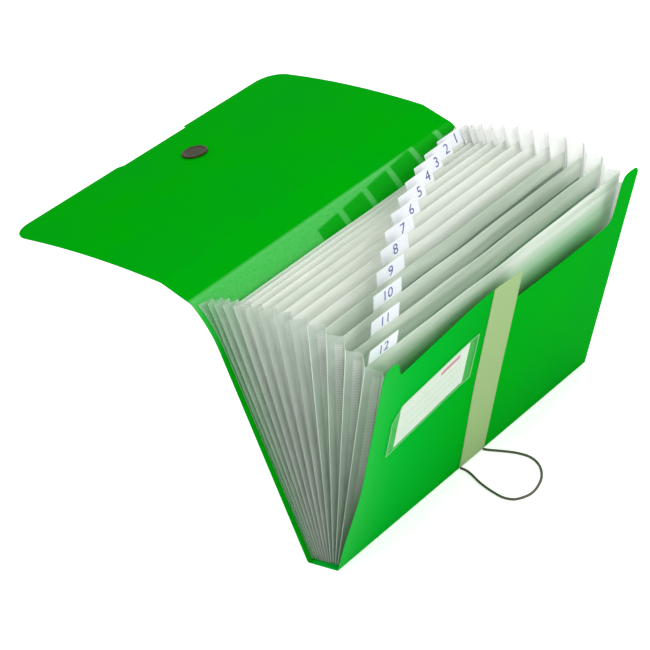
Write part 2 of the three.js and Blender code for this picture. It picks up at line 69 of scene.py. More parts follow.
# %% Camera
MM = 0.001
CAMERA_PLACE = (-1.10416, -1.18927, 0.92479)
CAMERA_TURN = (63.625, 14.883, -47.590)
CAMERA_LENS = 121.32
SENSOR_WIDTH = 36
FARTHEST_SEEN = 20

camera_data = bpy.data.cameras.new("photo_camera")
camera_data.lens = CAMERA_LENS
camera_data.sensor_width = SENSOR_WIDTH
camera_data.clip_end = FARTHEST_SEEN
camera = bpy.data.objects.new("photo_camera", camera_data)
camera.location = CAMERA_PLACE
camera.rotation_euler = [math.radians(angle) for angle in CAMERA_TURN]
bpy.context.scene.collection.objects.link(camera)
bpy.context.scene.camera = camera
bpy.context.scene.view_settings.view_transform = "Standard"
print("camera looks from", CAMERA_PLACE)

# %% [markdown]
# ## The elastic loop
#
# A round elastic cord closes the case: its loop hooks over the button. Here it hangs free, so it lies
# on the table in front, and both of its ends go in below the strap. A few knots read off its bow give
# the route, in millimetres from where it comes out. A Catmull-Rom curve runs through every knot, so the
# bow stays round without the handles that a Bezier curve would need.

# %% Route of the elastic loop
CORD_DIAMETER = 2.2
CORD_LIFT = 0.05
CORD_HEIGHT = CORD_DIAMETER / 2 + CORD_LIFT
CORD_STEPS = 8
FRONT_LEAN = math.radians(-28.25)
BASE_HALF_DEPTH = 17.0
COVER_THICKNESS = 0.6
CREASE_GAP = 0.3
CORD_EXIT_Y = -(
    BASE_HALF_DEPTH + COVER_THICKNESS + CREASE_GAP + CORD_DIAMETER * math.tan(-FRONT_LEAN)
)
CORD_ROUTE = [
    (-12, 0),
    (-13, -6),
    (-16.5, -15),
    (-25, -32),
    (-32.5, -52),
    (-36, -66),
    (-34.5, -77),
    (-24, -84.5),
    (-10, -82.5),
    (2.5, -76),
    (14.5, -64),
    (22, -49),
    (23.5, -33),
    (21.5, -17),
    (19.5, -6),
    (19, 0),
]


def smooth_route(points, steps):
    """Points along a centripetal Catmull-Rom curve through the given points."""
    ends = [2 * points[0] - points[1]], [2 * points[-1] - points[-2]]
    knots = ends[0] + list(points) + ends[1]
    route = []
    for k in range(1, len(knots) - 2):
        p0, p1, p2, p3 = knots[k - 1 : k + 3]
        t0 = 0.0
        t1 = t0 + math.sqrt((p1 - p0).length)
        t2 = t1 + math.sqrt((p2 - p1).length)
        t3 = t2 + math.sqrt((p3 - p2).length)
        for step in range(steps):
            t = t1 + (t2 - t1) * step / steps
            a1 = p0 * ((t1 - t) / (t1 - t0)) + p1 * ((t - t0) / (t1 - t0))
            a2 = p1 * ((t2 - t) / (t2 - t1)) + p2 * ((t - t1) / (t2 - t1))
            a3 = p2 * ((t3 - t) / (t3 - t2)) + p3 * ((t - t2) / (t3 - t2))
            b1 = a1 * ((t2 - t) / (t2 - t0)) + a2 * ((t - t0) / (t2 - t0))
            b2 = a2 * ((t3 - t) / (t3 - t1)) + a3 * ((t - t1) / (t3 - t1))
            route.append(b1 * ((t2 - t) / (t2 - t1)) + b2 * ((t - t1) / (t2 - t1)))
    route.append(points[-1])
    return route


cord_knots = [Vector((x, CORD_EXIT_Y + y, CORD_HEIGHT)) * MM for x, y in CORD_ROUTE]
cord_line = smooth_route(cord_knots, CORD_STEPS)

# %% [markdown]
# The cord could be swept as a mesh from the start, but a curve with a round bevel is simpler: its one
# line is also the cord's route. It is then made a mesh, as every piece here is.

# %% Elastic loop
CORD_ROUNDNESS = 4

cord_curve = bpy.data.curves.new("elastic_cord", "CURVE")
cord_curve.dimensions = "3D"
cord_spline = cord_curve.splines.new("POLY")
cord_spline.points.add(len(cord_line) - 1)
for spline_point, place in zip(cord_spline.points, cord_line):
    spline_point.co = (*place, 1)
cord_curve.bevel_depth = CORD_DIAMETER / 2 * MM
cord_curve.bevel_resolution = CORD_ROUNDNESS
cord_curve.use_fill_caps = True
elastic_cord = bpy.data.objects.new("elastic_cord", cord_curve)
bpy.context.scene.collection.objects.link(elastic_cord)
bpy.ops.object.select_all(action="DESELECT")
elastic_cord.select_set(True)
bpy.context.view_layer.objects.active = elastic_cord
bpy.ops.object.convert(target="MESH")
elastic_cord = bpy.context.active_object
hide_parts("elastic_loop")
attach(elastic_cord, "root")
print("elastic cord:", len(elastic_cord.data.polygons), "faces")

# %% [markdown]
# ## The shape of the pressed sheet
#
# The base, covers, strip and flap are one sheet on the real case, so one set of functions says where
# any point of it lies. Each takes x along the case, s along the sheet from a crease, and a distance
# out from its middle, all in millimetres. The ends of the covers flare out a little towards the base,
# and the front cover bows in between its ends, where the full pockets don't hold it out.

# %% Where the front cover lies
HALF_LENGTH = 165.0
BASE_FLARE = 4.0
FRONT_FLARE = 2.5
CREASE_HEIGHT = COVER_THICKNESS / 2
FRONT_HEIGHT = 235.0
FRONT_BOW = [(-1, -7.4), (-0.58, -1.9), (-0.15, 2.7), (0.15, 0.5), (1, 0)]
FRONT_BOW_HEIGHT = 115.0
BOW_STEPS = 15


def ease(value, low, high):
    """A smooth step from 0 to 1."""
    share = min(1.0, max(0.0, (value - low) / (high - low)))
    return share * share * (3 - 2 * share)


def flared(x, s, height, top_flare=0.0):
    flare = BASE_FLARE + (top_flare - BASE_FLARE) * s / height
    return x * (1 + flare / HALF_LENGTH)


bow_knots = [Vector((share * HALF_LENGTH, depth, 0)) for share, depth in FRONT_BOW]
bow_line = smooth_route(bow_knots, BOW_STEPS)
BOW_X = [point.x for point in bow_line]
BOW_DEPTH = [point.y for point in bow_line]


def front_bow(x, s):
    """How far the front cover bows inward."""
    return float(np.interp(x, BOW_X, BOW_DEPTH)) * ease(s, 0, FRONT_BOW_HEIGHT)


def front_point(x, s, out=0.0):
    outward = out - front_bow(x, s)
    y = -BASE_HALF_DEPTH + s * math.sin(FRONT_LEAN) - outward * math.cos(FRONT_LEAN)
    z = CREASE_HEIGHT + s * math.cos(FRONT_LEAN) + outward * math.sin(FRONT_LEAN)
    return Vector((flared(x, s, FRONT_HEIGHT, FRONT_FLARE), y, z)) * MM


print("front cover's top edge at", (front_point(0, FRONT_HEIGHT) / MM).to_tuple(1))

# %% [markdown]
# Near its top the back cover bends back in an arc, without a crease. The strip goes on from there at a
# slope, and the flap, which is free at its far edge, bows down under its own weight: another arc.

# %% Where the back cover, strip and flap lie
BACK_HEIGHT = 238.0
BACK_LEAN = math.radians(9)
BACK_BEND = math.radians(30)
BACK_BEND_LENGTH = 45.0
STRIP_WIDTH = 32.5
STRIP_RISE = math.radians(28)
FLAP_LENGTH = 185.0
FLAP_RISE = math.radians(12)
FLAP_BEND = math.radians(11)
FLAP_RADIUS = FLAP_LENGTH / FLAP_BEND


def back_point(x, s, out=0.0):
    straight = BACK_HEIGHT - BACK_BEND_LENGTH
    along = min(s, straight)
    radius = BACK_BEND_LENGTH / BACK_BEND
    turned = BACK_LEAN + (max(s, straight) - straight) / radius
    y = BASE_HALF_DEPTH + along * math.sin(BACK_LEAN)
    z = CREASE_HEIGHT + along * math.cos(BACK_LEAN)
    y += radius * (math.cos(BACK_LEAN) - math.cos(turned)) + out * math.cos(turned)
    z += radius * (math.sin(turned) - math.sin(BACK_LEAN)) - out * math.sin(turned)
    return Vector((flared(x, s, BACK_HEIGHT), y, z)) * MM


BACK_FOLD = back_point(0, BACK_HEIGHT) / MM


def strip_point(x, s, out=0.0):
    y = BACK_FOLD.y + s * math.cos(STRIP_RISE) - out * math.sin(STRIP_RISE)
    z = BACK_FOLD.z + s * math.sin(STRIP_RISE) + out * math.cos(STRIP_RISE)
    return Vector((x, y, z)) * MM


STRIP_END = strip_point(0, STRIP_WIDTH) / MM


def flap_point(x, s, out=0.0):
    angle = FLAP_RISE - s / FLAP_RADIUS
    y = STRIP_END.y + FLAP_RADIUS * (math.sin(FLAP_RISE) - math.sin(angle))
    z = STRIP_END.z + FLAP_RADIUS * (math.cos(angle) - math.cos(FLAP_RISE))
    return Vector((x, y - out * math.sin(angle), z + out * math.cos(angle))) * MM


print("upper creases at", BACK_FOLD.to_tuple(1), STRIP_END.to_tuple(1))

# %% [markdown]
# ## A blank for every pressed sheet
#
# Each panel starts as a grid primitive, as a maker starts with a flat blank. Its points are then slid
# to the place that the pressed sheet has. A box that is cut and bent would need many more steps, and
# would not keep the smooth bows of a sheet. Columns run along the case and rows up the sheet.


# %% Blank and press
def select_only(piece):
    bpy.ops.object.select_all(action="DESELECT")
    piece.hide_set(False)
    piece.select_set(True)
    bpy.context.view_layer.objects.active = piece


def blank(name, columns, rows):
    """A grid of columns by rows of points, named and selected."""
    bpy.ops.object.select_all(action="DESELECT")
    bpy.ops.mesh.primitive_grid_add(x_subdivisions=columns - 1, y_subdivisions=rows - 1, size=2)
    piece = bpy.context.active_object
    piece.name = name
    piece.data.name = name
    return piece


def press(piece, columns, rows, place):
    """Slides the points of a blank: place(column, row) gives each its position."""
    for vertex in piece.data.vertices:
        column = round((vertex.co.x + 1) / 2 * (columns - 1))
        row = round((vertex.co.y + 1) / 2 * (rows - 1))
        vertex.co = place(column, row)
    piece.data.update()


def spread(low, high, count):
    """count places from low to high, both included."""
    return [low + (high - low) * k / (count - 1) for k in range(count)]


def from_middle(index, count):
    """Runs from -1 to 1 as index runs over count columns or rows."""
    return 2 * index / (count - 1) - 1


print("a blank of 5 columns stands at", [from_middle(column, 5) for column in range(5)])

# %% [markdown]
# Solidify gives the pressed sheet its thickness. Where a cut edge shows, a small bevel breaks it, as the
# punch does on the real sheet. Both modifiers are applied, so the mesh itself is the finished shape.

# %% Thickness and broken edges
EDGE_FROM_ANGLE = math.radians(50)
SHARP_FROM_ANGLE = math.radians(35)
EDGE_STEPS = 2


def apply_modifier(piece, kind, **settings):
    select_only(piece)
    modifier = piece.modifiers.new(kind.title(), kind)
    for setting, value in settings.items():
        setattr(modifier, setting, value)
    bpy.ops.object.modifier_apply(modifier=modifier.name)


def outward_faces(piece):
    """Turns the faces of a closed piece to the outside."""
    select_only(piece)
    bpy.ops.object.mode_set(mode="EDIT")
    bpy.ops.mesh.select_all(action="SELECT")
    bpy.ops.mesh.normals_make_consistent(inside=False)
    bpy.ops.object.mode_set(mode="OBJECT")


def thicken(piece, thickness, edge_round=0.0, even=True):
    apply_modifier(piece, "SOLIDIFY", thickness=thickness * MM, offset=0.0, use_even_offset=even)
    if edge_round:
        apply_modifier(
            piece,
            "BEVEL",
            width=edge_round * MM,
            segments=EDGE_STEPS,
            limit_method="ANGLE",
            angle_limit=EDGE_FROM_ANGLE,
        )
    outward_faces(piece)
    bpy.ops.object.shade_smooth_by_angle(angle=SHARP_FROM_ANGLE)


def pressed_sheet(name, columns, rows, place, thickness, edge_round=0.0, even=True):
    """even keeps the thickness round a bend, but throws spikes out of a sharp fold."""
    piece = blank(name, columns, rows)
    press(piece, columns, rows, place)
    thicken(piece, thickness, edge_round, even)
    return piece


print("sheet edges are broken where they turn by", round(math.degrees(EDGE_FROM_ANGLE)), "degrees")


# %% Dress a finished piece
def dress(piece, node, body, finish):
    """Hides the imported part that a finished piece stands for, sets it on its body if one is given, and
    gives it its finish.
    """
    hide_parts(node)
    if body:
        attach(piece, body)
    piece.data.materials.clear()
    piece.data.materials.append(finish)
    return piece


# %% [markdown]
# ## Finishes
#
# Each finish is a small tree of nodes round one Principled shader. The patterns read Object coordinates
# in millimetres, so they stay on the piece from every side, and their scales can be read as sizes. The
# helpers below each add one or two nodes, so that a finish reads as a short recipe.


# %% Start a finish
def new_finish(name, colour, roughness, **sockets):
    finish = bpy.data.materials.new(name)
    finish.use_nodes = True
    shader = finish.node_tree.nodes["Principled BSDF"]
    shader.inputs["Base Color"].default_value = (*colour, 1)
    shader.inputs["Roughness"].default_value = roughness
    for socket, value in sockets.items():
        shader.inputs[socket.replace("_", " ")].default_value = value
    return finish, finish.node_tree, shader


def add_node(tree, kind, **settings):
    node = tree.nodes.new(kind)
    for setting, value in settings.items():
        if setting in node.inputs:
            node.inputs[setting].default_value = value
        else:
            setattr(node, setting, value)
    return node


def bump_from(tree, shader, height, strength, distance):
    bump = add_node(tree, "ShaderNodeBump", Strength=strength, Distance=distance)
    tree.links.new(height, bump.inputs["Height"])
    tree.links.new(bump.outputs["Normal"], shader.inputs["Normal"])


print("a finish starts from the Principled shader")


# %% Places and noise for a finish
def object_places(tree, scale=(1, 1, 1)):
    """Object coordinates in millimetres, stretched by scale."""
    source = add_node(tree, "ShaderNodeTexCoord")
    mapping = add_node(tree, "ShaderNodeMapping")
    mapping.inputs["Scale"].default_value = [factor / MM for factor in scale]
    tree.links.new(source.outputs["Object"], mapping.inputs["Vector"])
    return mapping.outputs["Vector"]


def axes_of(tree, places):
    """The node that parts places into X, Y and Z."""
    axes = add_node(tree, "ShaderNodeSeparateXYZ")
    tree.links.new(places, axes.inputs["Vector"])
    return axes


def along_slant(tree, places, slant):
    """How far places lie along a slanting direction."""
    node = add_node(tree, "ShaderNodeVectorMath", operation="DOT_PRODUCT")
    node.inputs[1].default_value = slant
    tree.links.new(places, node.inputs[0])
    return node.outputs["Value"]


def noise_over(tree, places, scale, detail=3.0):
    noise = add_node(tree, "ShaderNodeTexNoise", Scale=scale, Detail=detail)
    tree.links.new(places, noise.inputs["Vector"])
    return noise.outputs["Fac"]


print("patterns are measured in millimetres")


# %% Ramps, ranges and mixes for a finish
def grey(value):
    return (value, value, value)


def ramp_of(tree, factor, stops):
    """A colour ramp with the given (place, colour) stops."""
    ramp = add_node(tree, "ShaderNodeValToRGB")
    elements = ramp.color_ramp.elements
    while len(elements) < len(stops):
        elements.new(0.5)
    for element, (place, colour) in zip(elements, stops):
        element.position = place
        element.color = (*colour, 1)
    tree.links.new(factor, ramp.inputs["Fac"])
    return ramp.outputs["Color"]


def band(tree, factor, low, start, end, high):
    """1 from start to end, sloping to 0 at low and high."""
    stops = [(low, grey(0)), (start, grey(1)), (end, grey(1)), (high, grey(0))]
    return ramp_of(tree, factor, stops)


def ranged(tree, value, low, high, at_low=0.0, at_high=1.0):
    """value, which runs from low to high, brought to run from at_low to at_high and stop there."""
    node = add_node(tree, "ShaderNodeMapRange")
    node.inputs["From Min"].default_value = low
    node.inputs["From Max"].default_value = high
    node.inputs["To Min"].default_value = at_low
    node.inputs["To Max"].default_value = at_high
    tree.links.new(value, node.inputs["Value"])
    return node.outputs["Result"]


def repeated(tree, value, count, start=0.0):
    """value times count, plus start, without its whole part: from 0 to 1 again and again."""
    turns = add_node(tree, "ShaderNodeMath", operation="MULTIPLY_ADD")
    turns.inputs[1].default_value = count
    turns.inputs[2].default_value = start
    tree.links.new(value, turns.inputs[0])
    step = add_node(tree, "ShaderNodeMath", operation="FRACT")
    tree.links.new(turns.outputs["Value"], step.inputs[0])
    return step.outputs["Value"]


def joined(tree, one, other, operation):
    node = add_node(tree, "ShaderNodeMath", operation=operation)
    tree.links.new(one, node.inputs[0])
    tree.links.new(other, node.inputs[1])
    return node.outputs["Value"]


def product(tree, one, other):
    return joined(tree, one, other, "MULTIPLY")


FIRST_COLOUR = 6
SECOND_COLOUR = 7
MIXED_COLOUR = 2


def mixed_colour(tree, factor, one, other, kind="MIX"):
    """Mixes two colours. A factor of None is a full 1, and other may be a plain colour."""
    node = add_node(tree, "ShaderNodeMix", data_type="RGBA", blend_type=kind)
    if factor is None:
        node.inputs["Factor"].default_value = 1.0
    else:
        tree.links.new(factor, node.inputs["Factor"])
    tree.links.new(one, node.inputs[FIRST_COLOUR])
    if isinstance(other, tuple):
        node.inputs[SECOND_COLOUR].default_value = (*other, 1)
    else:
        tree.links.new(other, node.inputs[SECOND_COLOUR])
    return node.outputs[MIXED_COLOUR]


print("middle grey is", grey(0.5))

# %% [markdown]
# ### Reflections on the bend
#
# The bend of the back cover is rubbed smooth, and shines where it faces the light: it has a clear coat,
# and its colour there is painted lighter, a painted highlight. The tabs in front of it stand in the way
# of that light, so their reflections show as a row of dark patches. The lamps of this scene are too soft
# to bring that about, so the row is painted into the finish, a painted reflection: it is where the clear
# coat and the lighter colour are left off. Slanting directions and a repeating ramp draw it, with no
# picture.

# %% Reflections of the tabs
TAB_IMAGE_STEP = 34.0
TAB_IMAGE_START = -24.0
TAB_IMAGE_TOP = 225.6
TAB_IMAGE_BLUR = 0.8
TAB_IMAGE_SIDE_BLUR = 2
TAB_IMAGE_SLANT = (-0.073, 0.0, 1.0)
TAB_IMAGE_GLOSS = 0.08


def mirrored_tabs(tree, places, axes):
    """Painted reflections of the tabs on the bend's gloss and highlight: low in a row of patches, else 1.
    """
    along = axes.outputs["X"]
    step = repeated(tree, along, 1 / TAB_IMAGE_STEP, -TAB_IMAGE_START / TAB_IMAGE_STEP)
    row = band(tree, step, 0.0, 0.06, 0.82, 0.88)
    height = along_slant(tree, places, TAB_IMAGE_SLANT)
    low = TAB_IMAGE_TOP - TAB_IMAGE_BLUR
    high = TAB_IMAGE_TOP + TAB_IMAGE_BLUR
    below = ranged(tree, height, low, high, 1.0, 0.0)
    begun = ranged(tree, along, TAB_IMAGE_START - TAB_IMAGE_SIDE_BLUR, TAB_IMAGE_START)
    patch = product(tree, product(tree, row, below), begun)
    return ranged(tree, patch, 0.0, 1.0, 1.0, TAB_IMAGE_GLOSS)


print("one reflection every", TAB_IMAGE_STEP, "mm, from x", TAB_IMAGE_START)

# %% [markdown]
# ### Green polypropylene
#
# The cover is coloured polypropylene with a fine sand grain, so its gloss is broken up. Faint clouds in
# the colour and a bump from the grain keep it from looking like paint. With a usual index of refraction
# its gloss would lay a haze over the deep colour at low angles, so the index is low, and the shine of the
# bend is a clear coat with an index of its own. The coat follows a list of weights along one axis. On
# the back cover and the strip an attribute of the faces also keeps it to the inside. There the same
# weights paint the bend's colour lighter, a painted highlight. The front cover's greens are painted
# lighter than those of the rest of the sheet, and lighter still towards its near end: painted light.

# %% Green polypropylene
INSIDE_MARK = "inside"
PLASTIC_IOR = 1.12
PLASTIC_SPECULAR = 0.012
COAT_ROUGHNESS = 0.3
BEND_COAT_IOR = 1.9
CLOUD_SCALE = 0.012
GRAIN_SCALE = 1.6
GRAIN_DEPTH = 0.0002
SAND_SCALE = 0.75


def green_finish(name, greens, roughness, axis, polish_stops, painted_light_end=None, bend=None):
    """Sanded green plastic. polish_stops says where along an axis, in mm, a polished zone lies.

    painted_light_end is a lighter green painted towards the low end of that axis: painted light. bend is
    the colour of the polished bend, painted lighter as a painted highlight, except in the tabs' painted
    reflections.
    """
    light, dark = greens
    finish, tree, shader = new_finish(name, light, roughness, IOR=PLASTIC_IOR)
    shader.inputs["Specular IOR Level"].default_value = PLASTIC_SPECULAR
    shader.inputs["Coat Roughness"].default_value = COAT_ROUGHNESS
    places = object_places(tree)
    clouds = noise_over(tree, places, CLOUD_SCALE, 2.0)
    colour = ramp_of(tree, clouds, [(0.3, light), (0.75, dark)])
    grain = noise_over(tree, places, GRAIN_SCALE, 2.0)
    shine = ramp_of(tree, grain, [(0.3, grey(roughness - 0.06)), (0.7, grey(roughness + 0.08))])
    tree.links.new(shine, shader.inputs["Roughness"])
    bump_from(tree, shader, grain, 0.25, GRAIN_DEPTH)
    axes = axes_of(tree, places)
    low = polish_stops[0][0]
    high = polish_stops[-1][0]
    along = ranged(tree, axes.outputs[axis], low, high)
    # Painted light: the colour turns to a lighter green towards the low end of the axis.
    if painted_light_end:
        painted_light_share = ramp_of(tree, along, [(0.0, grey(1.0)), (1.0, grey(0.0))])
        colour = mixed_colour(tree, painted_light_share, colour, painted_light_end)
    stops = [((place - low) / (high - low), grey(weight)) for place, weight in polish_stops]
    polish = ramp_of(tree, along, stops)
    # On the bend the weights also mix in a lighter green: a painted highlight, left off in the tabs'
    # painted reflections.
    if bend:
        inside = add_node(tree, "ShaderNodeAttribute", attribute_name=INSIDE_MARK)
        polish = product(tree, polish, inside.outputs["Fac"])
        polish = product(tree, polish, mirrored_tabs(tree, places, axes))
        colour = mixed_colour(tree, polish, colour, bend)
        shader.inputs["Coat IOR"].default_value = BEND_COAT_IOR
    tree.links.new(colour, shader.inputs["Base Color"])
    sand_noise = noise_over(tree, places, SAND_SCALE, 1.0)
    sand = ramp_of(tree, sand_noise, [(0.3, grey(0.55)), (0.7, grey(1.0))])
    tree.links.new(product(tree, polish, sand), shader.inputs["Coat Weight"])
    return finish


print("green finish is ready to be mixed")

# %% Greens of the cover
DEEP_GREENS = [(0.0, 0.335, 0.001), (0.0, 0.31, 0.006)]
# The front cover is the same sheet as the rest, but its greens are painted lighter: painted light.
FRONT_PAINTED_LIGHT_GREENS = [(0.0, 0.375, 0.006), (0.0, 0.35, 0.012)]
# Painted light: a lighter green still at the near end of the front cover.
NEAR_END_PAINTED_LIGHT = (0.0, 0.44, 0.032)
# A painted highlight: the lighter green of the polished bend.
BEND_PAINTED_HIGHLIGHT = (0.0, 0.42, 0.02)
NO_POLISH = [(0, 0.0), (1, 0.0)]
BEND_POLISH = [(185, 0.0), (205, 0.9), (226, 1.0), (233, 1.0)]
STRIP_POLISH = [(185, 0.0), (205, 0.9), (226, 1.0), (232.2, 1.0), (233.8, 0.0)]
EDGE_POLISH = [(-170, 0.16), (-150, 0.07), (-125, 0.015), (-105, 0.0), (0, 0.0)]

GREEN_FLAP = green_finish("green_flap", DEEP_GREENS, 0.42, "X", NO_POLISH)
GREEN_BACK_PAINTED_HIGHLIGHT = green_finish("green_back_painted_highlight", DEEP_GREENS, 0.42, "Z", BEND_POLISH, bend=BEND_PAINTED_HIGHLIGHT)
GREEN_STRIP_PAINTED_HIGHLIGHT = green_finish("green_strip_painted_highlight", DEEP_GREENS, 0.42, "Z", STRIP_POLISH, bend=BEND_PAINTED_HIGHLIGHT)
GREEN_FRONT_PAINTED_LIGHT = green_finish("green_front_painted_light", FRONT_PAINTED_LIGHT_GREENS, 0.40, "X", EDGE_POLISH, NEAR_END_PAINTED_LIGHT)
print("greens:", GREEN_FLAP.name, GREEN_BACK_PAINTED_HIGHLIGHT.name, GREEN_STRIP_PAINTED_HIGHLIGHT.name, GREEN_FRONT_PAINTED_LIGHT.name)

# %% [markdown]
# ### Frosted film
#
# The pocket sheets are the same plastic without colour: frosted, with streaks along them from rolling.
# Light passes from sheet to sheet, so the alpha is below 1 and each sheet adds to the one behind. The
# front sheets stand close to the green cover and take up its glow below a certain height. Between two of
# them a pocket gapes, and its shade is painted: a narrow dark wedge, a painted shadow drawn along a
# slanting plane.

# %% Glow and painted shadows of the pocket mouths on the film
GREEN_FADE = 26.0
GREEN_GLOW = (0.40, 0.80, 0.45)
SLOT_SLANT = (-0.0168, -0.57, 1.0)
SLOT_TOP = 230.0
SLOT_FADE = 30.0
SLOT_END = 160.0
SLOT_SHADOW_COLOUR = (0.42, 0.52, 0.48)


def green_below(tree, colour, height):
    """The glow that the green cover throws on the film that stands close to it."""
    up = axes_of(tree, object_places(tree)).outputs["Z"]
    share = ranged(tree, up, height - GREEN_FADE, height, 1.0, 0.0)
    return mixed_colour(tree, share, colour, GREEN_GLOW)


def slot_shadow(tree):
    """Painted shadow in the narrow mouth of a pocket, just above the sheet in front: 1 in its depth."""
    places = object_places(tree)
    across = along_slant(tree, places, SLOT_SLANT)
    depth = ranged(tree, across, SLOT_TOP - SLOT_FADE, SLOT_TOP)
    mouth = band(tree, depth, 0.0, 0.6, 0.98, 1.0)
    along = axes_of(tree, places).outputs["X"]
    before_end = ranged(tree, along, SLOT_END, SLOT_END + 1.0, 1.0, 0.0)
    return product(tree, mouth, before_end)


print("dark mouths end at x", SLOT_END)

# %% Frosted film
FILM_ROUGHNESS = 0.45
FILM_IOR = 1.49
FILM_SPECULAR = 0.3
STREAK_SCALE = 0.12
STREAK_DEPTH = 0.001


def frosted_finish(name, shades, streaks_by, cover, green_height=None, slot_shadows=False):
    """Film that hides what is behind it by the share cover, and is green up to green_height."""
    pale, dull = shades
    finish, tree, shader = new_finish(name, pale, FILM_ROUGHNESS, IOR=FILM_IOR, Alpha=cover)
    shader.inputs["Specular IOR Level"].default_value = FILM_SPECULAR
    streaks = noise_over(tree, object_places(tree, streaks_by), STREAK_SCALE, 4.0)
    colour = ramp_of(tree, streaks, [(0.35, dull), (0.6, pale)])
    if green_height:
        colour = green_below(tree, colour, green_height)
    if slot_shadows:
        # Painted shadow: the pocket mouths are multiplied darker.
        colour = mixed_colour(tree, slot_shadow(tree), colour, SLOT_SHADOW_COLOUR, "MULTIPLY")
    tree.links.new(colour, shader.inputs["Base Color"])
    bump_from(tree, shader, streaks, 0.3, STREAK_DEPTH)
    return finish, tree, shader, colour


print("frosted film has an index of refraction of", FILM_IOR)

# %% Films of the pocket sheets
SHEET_STREAKS = (0.06, 1, 1)
SHEET_COVER = 0.6
GREEN_HEIGHT = 186.0
# The sheets are all one film. The middle ones are painted a little paler, as painted light, and the four
# at the front darker, as painted shade.
BACK_SHADES = [(0.97, 0.99, 0.95), (0.82, 0.88, 0.80)]
MIDDLE_PAINTED_LIGHT_TONES = [(0.98, 1.0, 0.96), (0.87, 0.92, 0.85)]
FRONT_PAINTED_SHADE_TONES = [(0.88, 0.94, 0.86), (0.68, 0.77, 0.67)]


def sheet_finish(name, shades, green_height=None, slot_shadows=False):
    return frosted_finish(name, shades, SHEET_STREAKS, SHEET_COVER, green_height, slot_shadows)[0]


BACK_FILM = sheet_finish("frosted_sheet", BACK_SHADES)
MIDDLE_FILM_PAINTED_LIGHT = sheet_finish("frosted_sheet_middle_painted_light", MIDDLE_PAINTED_LIGHT_TONES)
FRONT_FILM_PAINTED_SHADE = sheet_finish("frosted_sheet_front_painted_shade", FRONT_PAINTED_SHADE_TONES, GREEN_HEIGHT, slot_shadows=True)
FIRST_FILM_PAINTED_SHADE = sheet_finish("frosted_sheet_first_painted_shade", FRONT_PAINTED_SHADE_TONES, GREEN_HEIGHT)
print("film:", BACK_FILM.name, MIDDLE_FILM_PAINTED_LIGHT.name, FRONT_FILM_PAINTED_SHADE.name, FIRST_FILM_PAINTED_SHADE.name)

# %% [markdown]
# ### Film of the gussets
#
# The gusset film has a welded seam down every other panel: a column of fine ribs. The seam follows the
# folds, which fan out, so it reads the pleat's own UV map: u runs across a pleat, with its outer folds
# at 0 and 1 and its inner fold in the middle, and v runs up it. The panels of the near gusset shade each
# other, and that shade is painted across each pleat. Those of the far one are seen from inside and are
# evenly pale, with a thin dull line at each fold, which is painted shade. Every pleat is also painted
# darker towards its foot, as painted shade.

# %% Shades across a pleat
SHADED_LINE = 0.05
SHADED_PANELS = [
    (0.08, (0.56, 0.66, 0.57)),
    (0.24, (0.62, 0.70, 0.62)),
    (0.36, (0.66, 0.73, 0.66)),
    (0.44, (0.54, 0.64, 0.55)),
    (0.60, (0.82, 0.85, 0.82)),
]
EVEN_LINE = 0.06
EVEN_PANELS = [(0.1, (0.97, 0.96, 0.96)), (0.9, (0.97, 0.96, 0.96))]


def panel_stops(fold_line, shadows):
    """Stops of a ramp of painted shade across a pleat: fold_line is the colour painted at its outer folds.
    """
    line, panels = (SHADED_LINE, SHADED_PANELS) if shadows else (EVEN_LINE, EVEN_PANELS)
    return [(0.0, fold_line), (line, fold_line)] + panels + [(1.0, fold_line)]


print("shaded pleat:", len(panel_stops(grey(1), True)), "stops")

# %% Gusset film with welded seams
RIB_COUNT = 136
RIB_COLOUR = (0.97, 1.0, 0.97)
RIB_DEPTH_SHOWN = 0.0006
PLEAT_PALE = (0.92, 0.94, 0.92)
PLEAT_DULL = (0.82, 0.85, 0.82)
PLEAT_STREAKS = (1, 1, 0.1)
# Painted shade: darker towards the foot of each pleat.
PLEAT_SHADE_BY_HEIGHT = [(0.0, grey(0.80)), (0.55, grey(0.82)), (1.0, grey(1.0))]


def tinted(colour, painted_glow):
    return tuple(part * share for part, share in zip(colour, painted_glow))


def gusset_finish(name, fold_line, rib_share, cover, shadows=True, painted_glow=(1.0, 1.0, 1.0)):
    """Film of a pleat. rib_share says how plainly the ribs of its seam show."""
    shades = [tinted(PLEAT_PALE, painted_glow), tinted(PLEAT_DULL, painted_glow)]
    finish, tree, shader, film = frosted_finish(name, shades, PLEAT_STREAKS, cover)
    source = add_node(tree, "ShaderNodeUVMap")
    axes = axes_of(tree, source.outputs["UV"])
    across = axes.outputs["X"]
    up = axes.outputs["Y"]
    panels = ramp_of(tree, across, panel_stops(fold_line, shadows))
    shaded = mixed_colour(tree, None, film, panels, "MULTIPLY")
    shaded = mixed_colour(tree, None, shaded, ramp_of(tree, up, PLEAT_SHADE_BY_HEIGHT), "MULTIPLY")
    ribs = band(tree, repeated(tree, up, RIB_COUNT), 0.1, 0.4, 0.6, 0.9)
    seam = band(tree, across, 0.23, 0.25, 0.36, 0.38)
    part = [(0.25, grey(0)), (0.5, grey(rib_share)), (0.955, grey(rib_share)), (0.97, grey(0))]
    ribbed = product(tree, product(tree, ribs, seam), ramp_of(tree, up, part))
    colour = mixed_colour(tree, ribbed, shaded, RIB_COLOUR)
    tree.links.new(colour, shader.inputs["Base Color"])
    bump_from(tree, shader, ribbed, 0.4, RIB_DEPTH_SHOWN)
    return finish


print("ribs up a seam:", RIB_COUNT)

